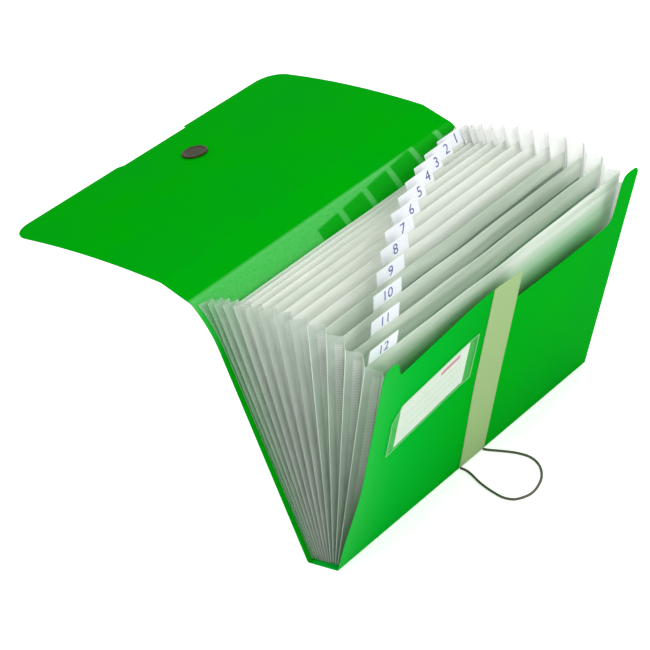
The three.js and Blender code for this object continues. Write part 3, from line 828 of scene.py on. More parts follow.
# %% Films of the pleats
# The rear pleats stand near the green back cover: these factors paint its green glow and shade on them,
# painted light and shade, most on the two rearmost.
BACK_PLEAT_PAINTED_GLOW = (0.62, 0.95, 0.67)
PLAIN_PLEAT_PAINTED_GLOW = (0.84, 0.98, 0.87)

BACK_PLEAT = gusset_finish("gusset_film_back_painted_glow", (0.72, 0.82, 0.72), 0.0, 0.42, painted_glow=BACK_PLEAT_PAINTED_GLOW)
PLAIN_PLEAT = gusset_finish("gusset_film_plain_painted_glow", (0.74, 0.80, 0.74), 0.0, 0.42, painted_glow=PLAIN_PLEAT_PAINTED_GLOW)
RIBBED_PLEAT = gusset_finish("gusset_film_ribbed", (0.78, 0.84, 0.78), 0.8, 0.45)
FRONT_PLEAT = gusset_finish("gusset_film_front", (0.80, 0.86, 0.80), 1.0, 0.46)
FAR_PLEAT = gusset_finish("gusset_film_far", (0.52, 0.55, 0.52), 0.2, 0.5, shadows=False)
print("pleats:", BACK_PLEAT.name, PLAIN_PLEAT.name, RIBBED_PLEAT.name, FRONT_PLEAT.name)

# %% [markdown]
# ### Paper, ink and the small finishes
#
# Paper is matt, with fibres that barely show. Ink and print are a colour with blots in it, and the same
# mottle does for the card, which has no fibres to see through its pocket.

# %% Paper, ink and print
def mottled(tree, scale, detail, stops):
    """Two colours mottled by noise, and the noise itself."""
    mottle = noise_over(tree, object_places(tree), scale, detail)
    return ramp_of(tree, mottle, stops), mottle


def paper_finish():
    finish, tree, shader = new_finish("label_paper", (0.86, 0.89, 0.95), 0.75)
    stops = [(0.3, (0.83, 0.86, 0.93)), (0.7, (0.90, 0.92, 0.97))]
    colour, fibres = mottled(tree, 0.9, 5.0, stops)
    tree.links.new(colour, shader.inputs["Base Color"])
    bump_from(tree, shader, fibres, 0.15, 0.0001)
    return finish


def ink_finish(name, colour, pale):
    finish, tree, shader = new_finish(name, colour, 0.6)
    blotted, _ = mottled(tree, 0.5, 4.0, [(0.35, colour), (0.75, pale)])
    tree.links.new(blotted, shader.inputs["Base Color"])
    return finish


PAPER = paper_finish()
CARD_PAPER = ink_finish("card_paper", (0.71, 0.735, 0.685), (0.75, 0.76, 0.725))
BLUE_INK = ink_finish("blue_ink", (0.05, 0.06, 0.30), (0.16, 0.19, 0.45))
RED_PRINT = ink_finish("red_print", (0.60, 0.10, 0.24), (0.70, 0.22, 0.36))
GREY_PRINT = ink_finish("grey_print", (0.45, 0.52, 0.50), (0.58, 0.64, 0.62))
WELD_FILM = ink_finish("weld_film", (0.16, 0.52, 0.20), (0.24, 0.62, 0.28))
print("paper and ink:", PAPER.name, CARD_PAPER.name, BLUE_INK.name, WELD_FILM.name)

# %% [markdown]
# The clear pocket hardly hides the card: what shows is its gloss, which ripples. The strap is woven flat
# and the cord is braided, so both get a fine wave across them. The button is moulded plastic, almost
# black, with a bronze cast and a worn shine.


# %% Clear film, strap, cord and button
def clear_finish():
    finish, tree, shader = new_finish("clear_film", (0.40, 0.80, 0.46), 0.12, Alpha=0.07)
    shine, ripple = mottled(tree, 0.03, 2.0, [(0.35, grey(0.08)), (0.7, grey(0.22))])
    tree.links.new(shine, shader.inputs["Roughness"])
    bump_from(tree, shader, ripple, 0.3, 0.002)
    return finish


def woven_finish(name, colour, threads_from, threads_to, roughness, wave, bands, strength, depth):
    """Threads: wave is their scale and how uneven they are, bands the way that they run."""
    finish, tree, shader = new_finish(name, colour, roughness)
    scale, uneven = wave
    threads = add_node(tree, "ShaderNodeTexWave", Scale=scale, Distortion=uneven)
    threads.bands_direction = bands
    tree.links.new(object_places(tree), threads.inputs["Vector"])
    shades = ramp_of(tree, threads.outputs["Fac"], [(0, threads_from), (1, threads_to)])
    tree.links.new(shades, shader.inputs["Base Color"])
    bump_from(tree, shader, threads.outputs["Fac"], strength, depth)
    return finish


def button_finish():
    finish, tree, shader = new_finish("button_bronze", (0.035, 0.032, 0.016), 0.5)
    shader.inputs["Specular IOR Level"].default_value = 0.08
    stops = [(0.35, (0.020, 0.020, 0.006)), (0.75, (0.045, 0.042, 0.015))]
    colour, wear = mottled(tree, 0.35, 4.0, stops)
    tree.links.new(colour, shader.inputs["Base Color"])
    shine = ramp_of(tree, wear, [(0.3, grey(0.28)), (0.7, grey(0.45))])
    tree.links.new(shine, shader.inputs["Roughness"])
    return finish


STRAP_GREENS = [(0.30, 0.45, 0.19), (0.29, 0.435, 0.18), (0.325, 0.47, 0.20)]
CORD_GREYS = [(0.08, 0.075, 0.055), (0.070, 0.066, 0.050), (0.13, 0.12, 0.095)]

CLEAR_FILM = clear_finish()
STRAP_WEAVE = woven_finish("strap_weave", *STRAP_GREENS, 0.85, (0.55, 0.4), "X", 0.15, 0.0002)
CORD_BRAID = woven_finish("cord_braid", *CORD_GREYS, 0.75, (0.45, 1.5), "DIAGONAL", 0.5, 0.0003)
BUTTON_BRONZE = button_finish()
elastic_cord.data.materials.append(CORD_BRAID)
print("small finishes:", CLEAR_FILM.name, STRAP_WEAVE.name, CORD_BRAID.name, BUTTON_BRONZE.name)

# %% [markdown]
# The cut ends of the front sheets gather light, as the edge of any clear plastic does. They are bright
# towards the top of the case, where light falls in, and dull towards its base.

# %% Bright edge of the film
EDGE_LIT_FROM = 230.0
EDGE_STOPS = [(0.3, (0.40, 0.50, 0.42)), (0.75, (0.78, 0.86, 0.79)), (1.0, (0.84, 0.92, 0.85))]


def edge_finish():
    finish, tree, shader = new_finish("bright_edge", (0.8, 0.88, 0.8), 0.5)
    up = axes_of(tree, object_places(tree)).outputs["Z"]
    height = ranged(tree, up, 0.0, EDGE_LIT_FROM)
    tree.links.new(ramp_of(tree, height, EDGE_STOPS), shader.inputs["Base Color"])
    return finish


BRIGHT_EDGE = edge_finish()
print("finishes:", len(bpy.data.materials))

# %% [markdown]
# ## Base and covers
#
# The base panel is a plain strip. Each cover reaches round its crease into the base.

# %% Base panel
CREASE_REACH = 4.0
CREASE_ROUND = 1.6
COVER_COLUMNS = 41
BASE_ROWS = 5
base_edge = BASE_HALF_DEPTH - CREASE_REACH


def base_place(column, row):
    x = (HALF_LENGTH + BASE_FLARE) * from_middle(column, COVER_COLUMNS)
    return Vector((x, base_edge * from_middle(row, BASE_ROWS), CREASE_HEIGHT)) * MM


base_panel = pressed_sheet("base_sheet", COVER_COLUMNS, BASE_ROWS, base_place, COVER_THICKNESS)
dress(base_panel, "base_panel", "root", GREEN_FRONT_PAINTED_LIGHT)
print("base panel:", len(base_panel.data.polygons), "faces")

# %% [markdown]
# The line that a cover follows from the base, round the crease and up, is given by a short list of
# places along it: below 0 they lie on the base, above 0 on the cover, and a small arc joins the two.

# %% Round a crease
CREASE_ROWS = [-CREASE_REACH, -2.6, -CREASE_ROUND, -0.9, -0.3, 0.3, 0.9, CREASE_ROUND, 2.6]
ARC_ROWS = CREASE_ROWS[2:8]


def rounded(before, corner, after, share):
    """A point on the arc from before to after, with corner as its control point."""
    return before.lerp(corner, share).lerp(corner.lerp(after, share), share)


def crease_place(s, lower, upper, corner):
    """The place at s along a sheet that turns at corner: lower(s) before it, upper(s) after it."""
    if s <= -CREASE_ROUND:
        return lower(s)
    if s >= CREASE_ROUND:
        return upper(s)
    share = (s + CREASE_ROUND) / (2 * CREASE_ROUND)
    return rounded(lower(-CREASE_ROUND), corner, upper(CREASE_ROUND), share)


def base_line(x, y):
    """A point of the base, at the covers' flared ends."""
    return Vector((x * (1 + BASE_FLARE / HALF_LENGTH), y, CREASE_HEIGHT)) * MM


print("rows round a crease:", len(ARC_ROWS))

# %% [markdown]
# ### Front cover
#
# The front cover's top edge is cut away between two horns, so that the tabs behind it can be read.
# On the strap's far side the cut is lower. A cut could be made with a Boolean, but that leaves long thin
# faces on a bowed sheet. Instead the blank's columns follow the cut, and each ends at its own height: two
# of them stand close together where the cut steps.

# %% Outline of the front cover
HORN_WIDTH = 22.0
HORN_ROUND = 9.0
HORN_STEPS = 7
NEAR_HORN_DROP = 1.5
LOW_CUT_HEIGHT = 183.0
HIGH_CUT_HEIGHT = 212.0
CUT_STEP_X = 8.0
CUT_STEP_GAP = 0.3
CUT_FILLET = 6.0
CUT_STEPS = 30
NEAR_HORN_SIDE = [(-8, -0.5), (-5, -2.5), (-2.5, -6), (-0.8, -11)]
NEAR_CUT_CORNER = [(1, 6), (3.2, 2), (6, 0)]
FAR_CUT_CORNER = [(-5, 0.6), (-2.2, 2.8), (-0.9, 7), (-0.4, 13)]
FAR_HORN_SIDE = [(0, -13), (0.5, -7), (1.4, -3), (3, -0.9), (6, 0)]


def quarter_round(x_edge, side, top, radius, steps):
    """Columns round an outer corner: side is -1 for the left end and 1 for the right."""
    places = []
    for k in range(steps + 1):
        angle = math.pi / 2 * k / steps
        x = x_edge - side * radius * (1 - math.cos(angle))
        places.append((x, top - radius * (1 - math.sin(angle))))
    return places if side < 0 else places[::-1]


def steps_from(x, s, steps):
    return [(x + aside, s + up) for aside, up in steps]


def front_top_edge():
    inner = HALF_LENGTH - HORN_WIDTH
    near_top = FRONT_HEIGHT - NEAR_HORN_DROP
    edge = quarter_round(-HALF_LENGTH, -1, near_top, HORN_ROUND, HORN_STEPS)
    edge += steps_from(-inner, near_top, NEAR_HORN_SIDE)
    edge += steps_from(-inner, HIGH_CUT_HEIGHT, NEAR_CUT_CORNER)
    edge += [(x, HIGH_CUT_HEIGHT) for x in spread(-inner + 9, CUT_STEP_X - 1, CUT_STEPS)]
    edge += [(CUT_STEP_X, HIGH_CUT_HEIGHT), (CUT_STEP_X + CUT_STEP_GAP, LOW_CUT_HEIGHT)]
    edge += [(x, LOW_CUT_HEIGHT) for x in spread(CUT_STEP_X + 2, inner - 9, CUT_STEPS)]
    edge += steps_from(inner, LOW_CUT_HEIGHT, FAR_CUT_CORNER)
    edge += steps_from(inner, FRONT_HEIGHT, FAR_HORN_SIDE)
    edge += quarter_round(HALF_LENGTH, 1, FRONT_HEIGHT, HORN_ROUND, HORN_STEPS)
    return edge


FRONT_EDGE = front_top_edge()
front_edge_x = [x for x, _ in FRONT_EDGE]
front_edge_order = all(b > a for a, b in zip(front_edge_x, front_edge_x[1:]))
print("front cover:", len(FRONT_EDGE), "columns, in order:", front_edge_order)

# %% Front cover
FRONT_ROWS = 40
COVER_EDGE_ROUND = 0.12


def front_place(column, row):
    x, top = FRONT_EDGE[column]
    if row < len(CREASE_ROWS):
        s = CREASE_ROWS[row]
    else:
        share = (row - len(CREASE_ROWS) + 1) / (FRONT_ROWS - 1)
        s = CREASE_ROWS[-1] + (top - CREASE_ROWS[-1]) * share
    return crease_place(
        s,
        lambda t: base_line(x, -BASE_HALF_DEPTH - t),
        lambda t: front_point(x, t),
        front_point(x, 0),
    )


front_sheet = pressed_sheet(
    "front_sheet",
    len(FRONT_EDGE),
    len(CREASE_ROWS) + FRONT_ROWS - 1,
    front_place,
    COVER_THICKNESS,
    COVER_EDGE_ROUND,
)
dress(front_sheet, "front_cover", None, GREEN_FRONT_PAINTED_LIGHT)
tuple(front_point(0, CREASE_ROUND))
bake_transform(front_sheet)
print("front cover:", len(front_sheet.data.polygons), "faces")

# %% [markdown]
# ### Back cover
#
# The back cover's rows lie far apart on its straight part and close together round the bend. A face of
# the sheet looks either into the case or out of it, and the finish needs to know which, so the faces
# that look inward are marked with an attribute.

# %% Back cover
BACK_PIECE_END = 232.0
INWARDS = Vector((0, -1, 1))
BACK_ROWS = CREASE_ROWS + spread(10, 193, 14) + spread(196, BACK_PIECE_END, 14)


def mark_inside(piece):
    """Gives the faces on the inside of the cover the attribute that the bend's gloss and painted highlight
    read.
    """
    marks = piece.data.attributes.new(INSIDE_MARK, "FLOAT", "FACE")
    for face, mark in zip(piece.data.polygons, marks.data):
        mark.value = 1.0 if face.normal.dot(INWARDS) > 0 else 0.0


def back_place(column, row):
    x = HALF_LENGTH * from_middle(column, COVER_COLUMNS)
    return crease_place(
        BACK_ROWS[row],
        lambda t: base_line(x, BASE_HALF_DEPTH + t),
        lambda t: back_point(x, t),
        back_point(x, 0),
    )


back_sheet = pressed_sheet(
    "back_sheet", COVER_COLUMNS, len(BACK_ROWS), back_place, COVER_THICKNESS
)
mark_inside(back_sheet)
dress(back_sheet, "back_cover", None, GREEN_BACK_PAINTED_HIGHLIGHT)
tuple(back_point(0, CREASE_ROUND))
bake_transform(back_sheet)
print("back cover:", len(back_sheet.data.polygons), "faces")

# %% [markdown]
# ## Strip and flap
#
# The top strip reaches round the back cover's upper crease, and the flap reaches back over half of
# the strip, so that each crease lies inside one piece. The seams between the pieces lie where
# nothing bends.

# %% Top strip
STRIP_ROWS = [BACK_PIECE_END - BACK_HEIGHT, -3.6, -2.4] + ARC_ROWS + [2.6, 5, 9, STRIP_WIDTH / 2]


def strip_place(column, row):
    x = HALF_LENGTH * from_middle(column, COVER_COLUMNS)
    return crease_place(
        STRIP_ROWS[row],
        lambda t: back_point(x, BACK_HEIGHT + t),
        lambda t: strip_point(x, t),
        strip_point(x, 0),
    )


top_sheet = pressed_sheet(
    "strip_sheet", COVER_COLUMNS, len(STRIP_ROWS), strip_place, COVER_THICKNESS
)
mark_inside(top_sheet)
dress(top_sheet, "top_strip", None, GREEN_STRIP_PAINTED_HIGHLIGHT)
tuple(back_point(0, BACK_HEIGHT - 2 * CREASE_ROUND))
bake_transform(top_sheet)
print("top strip:", len(top_sheet.data.polygons), "faces")

# %% [markdown]
# The flap's outer corners are rounded, and its leading edge has a shallow recess for a thumb. Its columns
# follow that outline, as the front cover's do.

# %% Outline of the flap
FLAP_CORNER = 22.0
FLAP_CORNER_STEPS = 14
RECESS_LEFT = -37.0
RECESS_RIGHT = 48.0
RECESS_DEPTH = 3.5
RECESS_SLOPE = 7.0
RECESS_SIDE = [(0.4, 0.3), (0.7, 0.8)]


def flap_edge():
    past_corner = HALF_LENGTH - FLAP_CORNER - 5
    edge = quarter_round(-HALF_LENGTH, -1, FLAP_LENGTH, FLAP_CORNER, FLAP_CORNER_STEPS)
    edge += [(x, FLAP_LENGTH) for x in spread(-past_corner, RECESS_LEFT, 20)]
    for along, down in RECESS_SIDE:
        edge += [(RECESS_LEFT + RECESS_SLOPE * along, FLAP_LENGTH - down * RECESS_DEPTH)]
    recess = spread(RECESS_LEFT + RECESS_SLOPE, RECESS_RIGHT - 0.4, 16)
    edge += [(x, FLAP_LENGTH - RECESS_DEPTH) for x in recess]
    edge += [(x, FLAP_LENGTH) for x in spread(RECESS_RIGHT, past_corner, 18)]
    edge += quarter_round(HALF_LENGTH, 1, FLAP_LENGTH, FLAP_CORNER, FLAP_CORNER_STEPS)
    return edge


FLAP_EDGE = flap_edge()
print("flap:", len(FLAP_EDGE), "columns")

# %% Flap
FLAP_ROWS = 30
FLAP_START_ROWS = [-STRIP_WIDTH / 2, -12, -8, -4, -2.4] + ARC_ROWS


def flap_place(column, row):
    x, end = FLAP_EDGE[column]
    if row < len(FLAP_START_ROWS):
        s = FLAP_START_ROWS[row]
    else:
        share = (row - len(FLAP_START_ROWS) + 1) / FLAP_ROWS
        s = CREASE_ROUND + (end - CREASE_ROUND) * share
    return crease_place(
        s,
        lambda t: strip_point(x, STRIP_WIDTH + t),
        lambda t: flap_point(x, t),
        flap_point(x, 0),
    )


flap_sheet = pressed_sheet(
    "flap_sheet",
    len(FLAP_EDGE),
    len(FLAP_START_ROWS) + FLAP_ROWS,
    flap_place,
    COVER_THICKNESS,
    COVER_EDGE_ROUND,
)
dress(flap_sheet, "flap", None, GREEN_FLAP)
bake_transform(flap_sheet)
print("flap:", len(flap_sheet.data.polygons), "faces")

# %% [markdown]
# ## Button
#
# A dark moulded disc sits inside the flap, with a raised rim round a shallow dish. On the other side of
# the flap a knob with a neck takes the loop. Both are round, so both are turned: a circle is extruded
# and scaled ring by ring. Spin would do it too, but leaves a seam to close.


# %% Turn a round piece
DOUBLES_WITHIN = 0.000001
SHARP_ON_TURNED = math.radians(40)


def turned_piece(name, profile, sides):
    """A turned solid: a circle primitive, extruded upward and scaled for each ring of profile."""
    radius, height = profile[0]
    bpy.ops.object.select_all(action="DESELECT")
    bpy.ops.mesh.primitive_circle_add(
        vertices=sides, radius=radius * MM, fill_type="TRIFAN", location=(0, 0, 0)
    )
    piece = bpy.context.active_object
    piece.name = name
    bpy.ops.object.mode_set(mode="EDIT")
    bpy.ops.mesh.select_all(action="SELECT")
    bpy.ops.transform.translate(value=(0, 0, height * MM))
    for ring_radius, ring_height in profile[1:]:
        rise = (ring_height - height) * MM
        bpy.ops.mesh.extrude_region_move(TRANSFORM_OT_translate={"value": (0, 0, rise)})
        factor = ring_radius / radius
        bpy.ops.transform.resize(
            value=(factor, factor, 1), center_override=(0, 0, ring_height * MM)
        )
        radius, height = ring_radius, ring_height
    bpy.ops.mesh.select_all(action="SELECT")
    bpy.ops.mesh.remove_doubles(threshold=DOUBLES_WITHIN)
    bpy.ops.mesh.normals_make_consistent(inside=False)
    bpy.ops.object.mode_set(mode="OBJECT")
    bpy.ops.object.shade_smooth_by_angle(angle=SHARP_ON_TURNED)
    return piece


BUTTON_X = 8.0
BUTTON_ALONG_FLAP = 130.0
BUTTON_ANGLE = FLAP_RISE - BUTTON_ALONG_FLAP / FLAP_RADIUS


def onto_flap(piece):
    """Sets a turned piece on the flap, square to it, with its place in its mesh."""
    seat = flap_point(BUTTON_X, BUTTON_ALONG_FLAP)
    piece.data.transform(Matrix.Translation(seat) @ Matrix.Rotation(BUTTON_ANGLE, 4, "X"))
    piece.data.update()


print("button at", tuple(round(v, 4) for v in flap_point(BUTTON_X, BUTTON_ALONG_FLAP)))

# %% Button disc and knob
DISC_SEAT = COVER_THICKNESS / 2 + 0.3
DISC_SIDES = 64
KNOB_SIDES = 48
disc_profile = [
    (11.2, DISC_SEAT),
    (11.8, DISC_SEAT + 0.15),
    (12.0, DISC_SEAT + 0.6),
    (11.9, DISC_SEAT + 1.1),
    (11.4, DISC_SEAT + 1.5),
    (10.7, DISC_SEAT + 1.6),
    (9.9, DISC_SEAT + 1.5),
    (9.3, DISC_SEAT + 1.15),
    (8.6, DISC_SEAT + 1.1),
    (4.0, DISC_SEAT + 1.2),
    (0.6, DISC_SEAT + 1.25),
]
disc = turned_piece("button_disc_turned", disc_profile, DISC_SIDES)
onto_flap(disc)
dress(disc, "button_disc", "flap", BUTTON_BRONZE)
knob_profile = [
    (0.6, -7.2),
    (7.0, -7.1),
    (9.2, -6.8),
    (9.9, -6.1),
    (9.7, -5.3),
    (8.8, -4.8),
    (4.9, -4.3),
    (4.5, -3.6),
    (4.5, -0.7),
    (2.5, -0.65),
    (2.5, COVER_THICKNESS / 2),
]
knob = turned_piece("button_knob_turned", knob_profile, KNOB_SIDES)
onto_flap(knob)
dress(knob, "button_knob", "flap", BUTTON_BRONZE)
print("button:", len(disc.data.polygons), "and", len(knob.data.polygons), "faces")

# %% [markdown]
# ## Pocket sheets
#
# Twelve frosted sheets part the case into thirteen pockets. Their feet stand in a row on the base, and
# they fan out from there, closer together at the back. Each has an index tab cut in one with it, a step
# further along than the one behind. The film is thin and waves a little, which gives it its streaks of
# light. The waves of neighbours nest, so that the sheets don't cut through each other when the case shuts.

# %% Where each pocket sheet stands
SHEETS = 12
POCKETS = SHEETS + 1
SHEET_THICKNESS = 0.25
SHEET_HEIGHT = 216.5
SHEET_LIFT = 4.4
BACK_SHEET_LEAN = 8.6
FRONT_SHEET_LEAN = -25.6
FAN_POWER = 1.42
GUSSET_INSET = 3.8
SHEET_END_GAP = 0.9
FOLD_X = HALF_LENGTH - GUSSET_INSET
SHEET_HALF = FOLD_X - SHEET_END_GAP
FILM_FLARE = 3.6
FAR_FLARE = 0.6


def sheet_lean(number):
    share = ((number - 1) / (SHEETS - 1)) ** FAN_POWER
    return math.radians(BACK_SHEET_LEAN + (FRONT_SHEET_LEAN - BACK_SHEET_LEAN) * share)


def sheet_foot(number):
    return BASE_HALF_DEPTH - 2 * BASE_HALF_DEPTH * number / POCKETS


def film_flare(s):
    """How much further out the sheets and gussets reach towards the base."""
    return FILM_FLARE * max(0.0, 1 - s / SHEET_HEIGHT)


def sheet_point(number, x, s, out=0.0):
    """A point of a pocket sheet: out is towards the front."""
    lean = sheet_lean(number)
    y = sheet_foot(number) + s * math.sin(lean) - out * math.cos(lean)
    z = SHEET_LIFT + s * math.cos(lean) + out * math.sin(lean)
    flare = film_flare(s) * (FAR_FLARE if x > 0 else 1.0)
    return Vector((x * (1 + flare / SHEET_HALF), y, z)) * MM


print("sheets lean by", [round(math.degrees(sheet_lean(n)), 1) for n in range(1, SHEETS + 1)])

# %% Tabs and waves of the sheets
TAB_WIDTH = 36.0
TAB_HEIGHT = 16.5
TAB_ROUND = 2.5
TAB_FROM_END = 1
LABEL_MARGIN = 1.5
FIRST_TAB_X = SHEET_HALF - TAB_FROM_END - TAB_WIDTH / 2
LAST_TAB_X = -SHEET_HALF + TAB_FROM_END + TAB_WIDTH / 2
TAB_STEP = (FIRST_TAB_X - LAST_TAB_X) / (SHEETS - 1)
WAVES = [(0.45, 31), (0.25, 13)]  # height and length of each
WAVE_TURN = 0.12
WAVE_FULL_HEIGHT = 120


def tab_x(number):
    return FIRST_TAB_X - TAB_STEP * (number - 1)


def sheet_wave(number, x, s):
    """The gentle waves of a thin sheet, nothing at its bottom and ends. Those of neighbours nest."""
    hold = ease(s, 0, WAVE_FULL_HEIGHT) * max(0.0, 1 - (x / SHEET_HALF) ** 2)
    turn = WAVE_TURN * number
    return sum(height * hold * math.sin(x / length + turn) for height, length in WAVES)


print("tabs step by", round(TAB_STEP, 2), "mm")

# %% Outline of a pocket sheet
FAR_REACH = 4.5
SHEET_RIGHT = SHEET_HALF + FAR_REACH - 1.0
EDGE_STEP = 7
TAB_CORNER = [(0.0, 1.0), (0.4, 0.6), (1.0, 0.0)]  # in and down from it, as shares of its round
TAB_SIDE = 0.2
TAB_TOP_COLUMNS = 4


def columns_over(low, high):
    return max(3, round((high - low) / EDGE_STEP))


def sheet_edge(number):
    """Columns along the top edge of a sheet: level, up the tab, along it, down it, level again."""
    left = tab_x(number) - TAB_WIDTH / 2 + LABEL_MARGIN
    right = tab_x(number) + TAB_WIDTH / 2 - LABEL_MARGIN
    top = SHEET_HEIGHT + TAB_HEIGHT - LABEL_MARGIN
    before = spread(-SHEET_HALF, left - TAB_SIDE, columns_over(-SHEET_HALF, left))
    after = spread(right + TAB_SIDE, SHEET_RIGHT, columns_over(right, SHEET_RIGHT))
    edge = [(x, SHEET_HEIGHT) for x in before]
    edge += [(left + TAB_ROUND * aside, top - TAB_ROUND * down) for aside, down in TAB_CORNER]
    edge += [(x, top) for x in spread(left + EDGE_STEP, right - EDGE_STEP, TAB_TOP_COLUMNS)]
    corner = TAB_CORNER[::-1]
    edge += [(right - TAB_ROUND * aside, top - TAB_ROUND * down) for aside, down in corner]
    edge += [(x, SHEET_HEIGHT) for x in after]
    return edge


print("first sheet:", len(sheet_edge(1)), "columns")

# %% Pocket sheets
SHEET_ROWS = 16
SHEET_FILMS = 5 * [BACK_FILM] + 3 * [MIDDLE_FILM_PAINTED_LIGHT] + 3 * [FRONT_FILM_PAINTED_SHADE] + [FIRST_FILM_PAINTED_SHADE]


def pocket_sheet(number):
    edge = sheet_edge(number)

    def place(column, row):
        x, top = edge[column]
        s = top * row / (SHEET_ROWS - 1)
        return sheet_point(number, x, s, sheet_wave(number, x, s))

    name = f"frosted_sheet_{number:02d}"
    piece = pressed_sheet(name, len(edge), SHEET_ROWS, place, SHEET_THICKNESS)
    film = SHEET_FILMS[number - 1]
    return dress(piece, f"pocket_sheet_{number:02d}", f"sheet_{number:02d}", film)


frosted_sheets = [pocket_sheet(number) for number in range(1, SHEETS + 1)]
print("pocket sheets:", len(frosted_sheets))

# %% [markdown]
# ## Labels on the tabs
#
# A white paper label covers the front of each tab. It is pressed from a blank of its own with the place
# function of its sheet, a little further out, so it follows the sheet's waves.

# %% Tab labels
LABEL_HEIGHT = 13.0
LABEL_GAP = 0.2
LABEL_OUT = SHEET_THICKNESS / 2 + LABEL_GAP
LABEL_THICKNESS = 0.2
LABEL_COLUMNS = 13
LABEL_ROWS = 6


def tab_label(number):
    left = tab_x(number) - TAB_WIDTH / 2 + LABEL_MARGIN
    right = left + TAB_WIDTH - 2 * LABEL_MARGIN
    high = SHEET_HEIGHT + TAB_HEIGHT - LABEL_MARGIN
    low = high - LABEL_HEIGHT

    def place(column, row):
        x = left + (right - left) * column / (LABEL_COLUMNS - 1)
        s = low + (high - low) * row / (LABEL_ROWS - 1)
        return sheet_point(number, x, s, sheet_wave(number, x, s) + LABEL_OUT)

    name = f"paper_label_{number:02d}"
    piece = pressed_sheet(name, LABEL_COLUMNS, LABEL_ROWS, place, LABEL_THICKNESS)
    return dress(piece, f"tab_label_{number:02d}", f"sheet_{number:02d}", PAPER)


paper_labels = [tab_label(number) for number in range(1, SHEETS + 1)]
print("labels:", len(paper_labels))

# %% [markdown]
# Each label has a plain number in blue, just proud of the paper. A text object with a little depth gives
# its shape. It is made a mesh first, and then every point of it is laid on the label.

# %% Numbers on the labels
NUMBER_HEIGHT = 9.0
TEXT_SIZE_OVER_HEIGHT = 0.7
TEXT_ROUNDNESS = 4
NUMBER_THICKNESS = 0.06
NUMBER_ASIDE = 10.5
LAST_ASIDE = 9
ASIDE_OVER = 5
NUMBER_END = 147.0
NUMBER_OUT = LABEL_OUT + LABEL_THICKNESS / 2 + NUMBER_THICKNESS


def label_number(number):
    """A plain number: text, made a mesh, then laid on its label."""
    bpy.ops.object.select_all(action="DESELECT")
    bpy.ops.object.text_add(location=(0, 0, 0))
    piece = bpy.context.active_object
    piece.data.body = str(number)
    piece.data.size = NUMBER_HEIGHT / TEXT_SIZE_OVER_HEIGHT
    piece.data.align_x = "CENTER"
    piece.data.extrude = NUMBER_THICKNESS / 2
    piece.data.resolution_u = TEXT_ROUNDNESS
    bpy.ops.object.convert(target="MESH")
    piece = bpy.context.active_object
    piece.name = f"label_number_{number:02d}"
    piece.data.name = piece.name
    base = SHEET_HEIGHT + TAB_HEIGHT - LABEL_MARGIN - (LABEL_HEIGHT + NUMBER_HEIGHT) / 2
    aside = NUMBER_ASIDE * ease(LAST_ASIDE - number, 0, ASIDE_OVER)
    aside = min(aside, NUMBER_END - tab_x(number))
    for vertex in piece.data.vertices:
        x = tab_x(number) + aside + vertex.co.x
        s = base + vertex.co.y
        out = sheet_wave(number, x, s) + NUMBER_OUT + vertex.co.z
        vertex.co = sheet_point(number, x, s, out)
    piece.data.update()
    select_only(piece)
    bpy.ops.object.mode_set(mode="EDIT")
    bpy.ops.mesh.select_all(action="SELECT")
    bpy.ops.mesh.remove_doubles(threshold=DOUBLES_WITHIN)
    bpy.ops.object.mode_set(mode="OBJECT")
    outward_faces(piece)
    return dress(piece, f"tab_label_{number:02d}", f"sheet_{number:02d}", BLUE_INK)


label_numbers = [label_number(number) for number in range(1, SHEETS + 1)]
print("numbers:", [len(piece.data.polygons) for piece in label_numbers])

# %% [markdown]
# ## Gussets
#
# At each end a strip of thin film is folded in a V between every two sheets, and opens like the
# bellows of an accordion. A panel keeps its width, so the further two sheets stand apart, the less deep
# the V between them is: that is all the geometry of a pleat. The outer folds run from the foot of each
# sheet to its top, and dip towards the front cover.

# %% Where the folds of the gussets lie
GUSSET_HEIGHT = SHEET_HEIGHT + 17.5
GUSSET_DIP = 18.0
GUSSET_DIP_FROM = 10
GUSSET_PANEL = 13.0
GUSSET_LEAST_DEPTH = 5.0
GUSSET_THICKNESS = 0.3
GUSSET_COVER_GAP = 0.4
GUSSET_COVER_INSIDE = COVER_THICKNESS / 2 + GUSSET_COVER_GAP + GUSSET_THICKNESS
GUSSET_FOOT = -2.6
FOLD_ROWS = spread(GUSSET_FOOT, GUSSET_HEIGHT - SHEET_LIFT, 25)


def station(side, number, along):
    """Where the gusset's outer fold meets sheet number, 0 and 13 being the covers: y and z."""
    dip = GUSSET_DIP * max(0, number - GUSSET_DIP_FROM) / (POCKETS - GUSSET_DIP_FROM)
    s = along * (1 - dip / (GUSSET_HEIGHT - SHEET_LIFT))
    if number == 0:
        place = back_point(0, s + SHEET_LIFT, -GUSSET_COVER_INSIDE)
    elif number == POCKETS:
        place = front_point(side * FOLD_X, s + SHEET_LIFT, -GUSSET_COVER_INSIDE)
    else:
        place = sheet_point(number, 0, s)
    return Vector((place.y, place.z)) / MM


def fold_reach(side, s):
    """How far out the outer folds lie: at the far end they come nearly flush with the covers."""
    if side > 0:
        return FOLD_X + FAR_REACH + FAR_FLARE * film_flare(s)
    return FOLD_X + film_flare(s)


print("gussets end", round(station(-1, POCKETS, FOLD_ROWS[-1]).y, 1), "mm up at the front cover")

# %% One pleat
FOLD_FLAT = 0.25
FOLD_ROUND = 0.02
PLEAT_COLUMNS = [0, FOLD_ROUND, 0.25, 0.5 - FOLD_ROUND, 0.5, 0.5 + FOLD_ROUND, 0.75, 0.98, 1]
LEFT_FILMS = 2 * [BACK_PLEAT] + 2 * [PLAIN_PLEAT] + 5 * [RIBBED_PLEAT] + 4 * [FRONT_PLEAT]
END_NAMES = {-1: "left", 1: "right"}


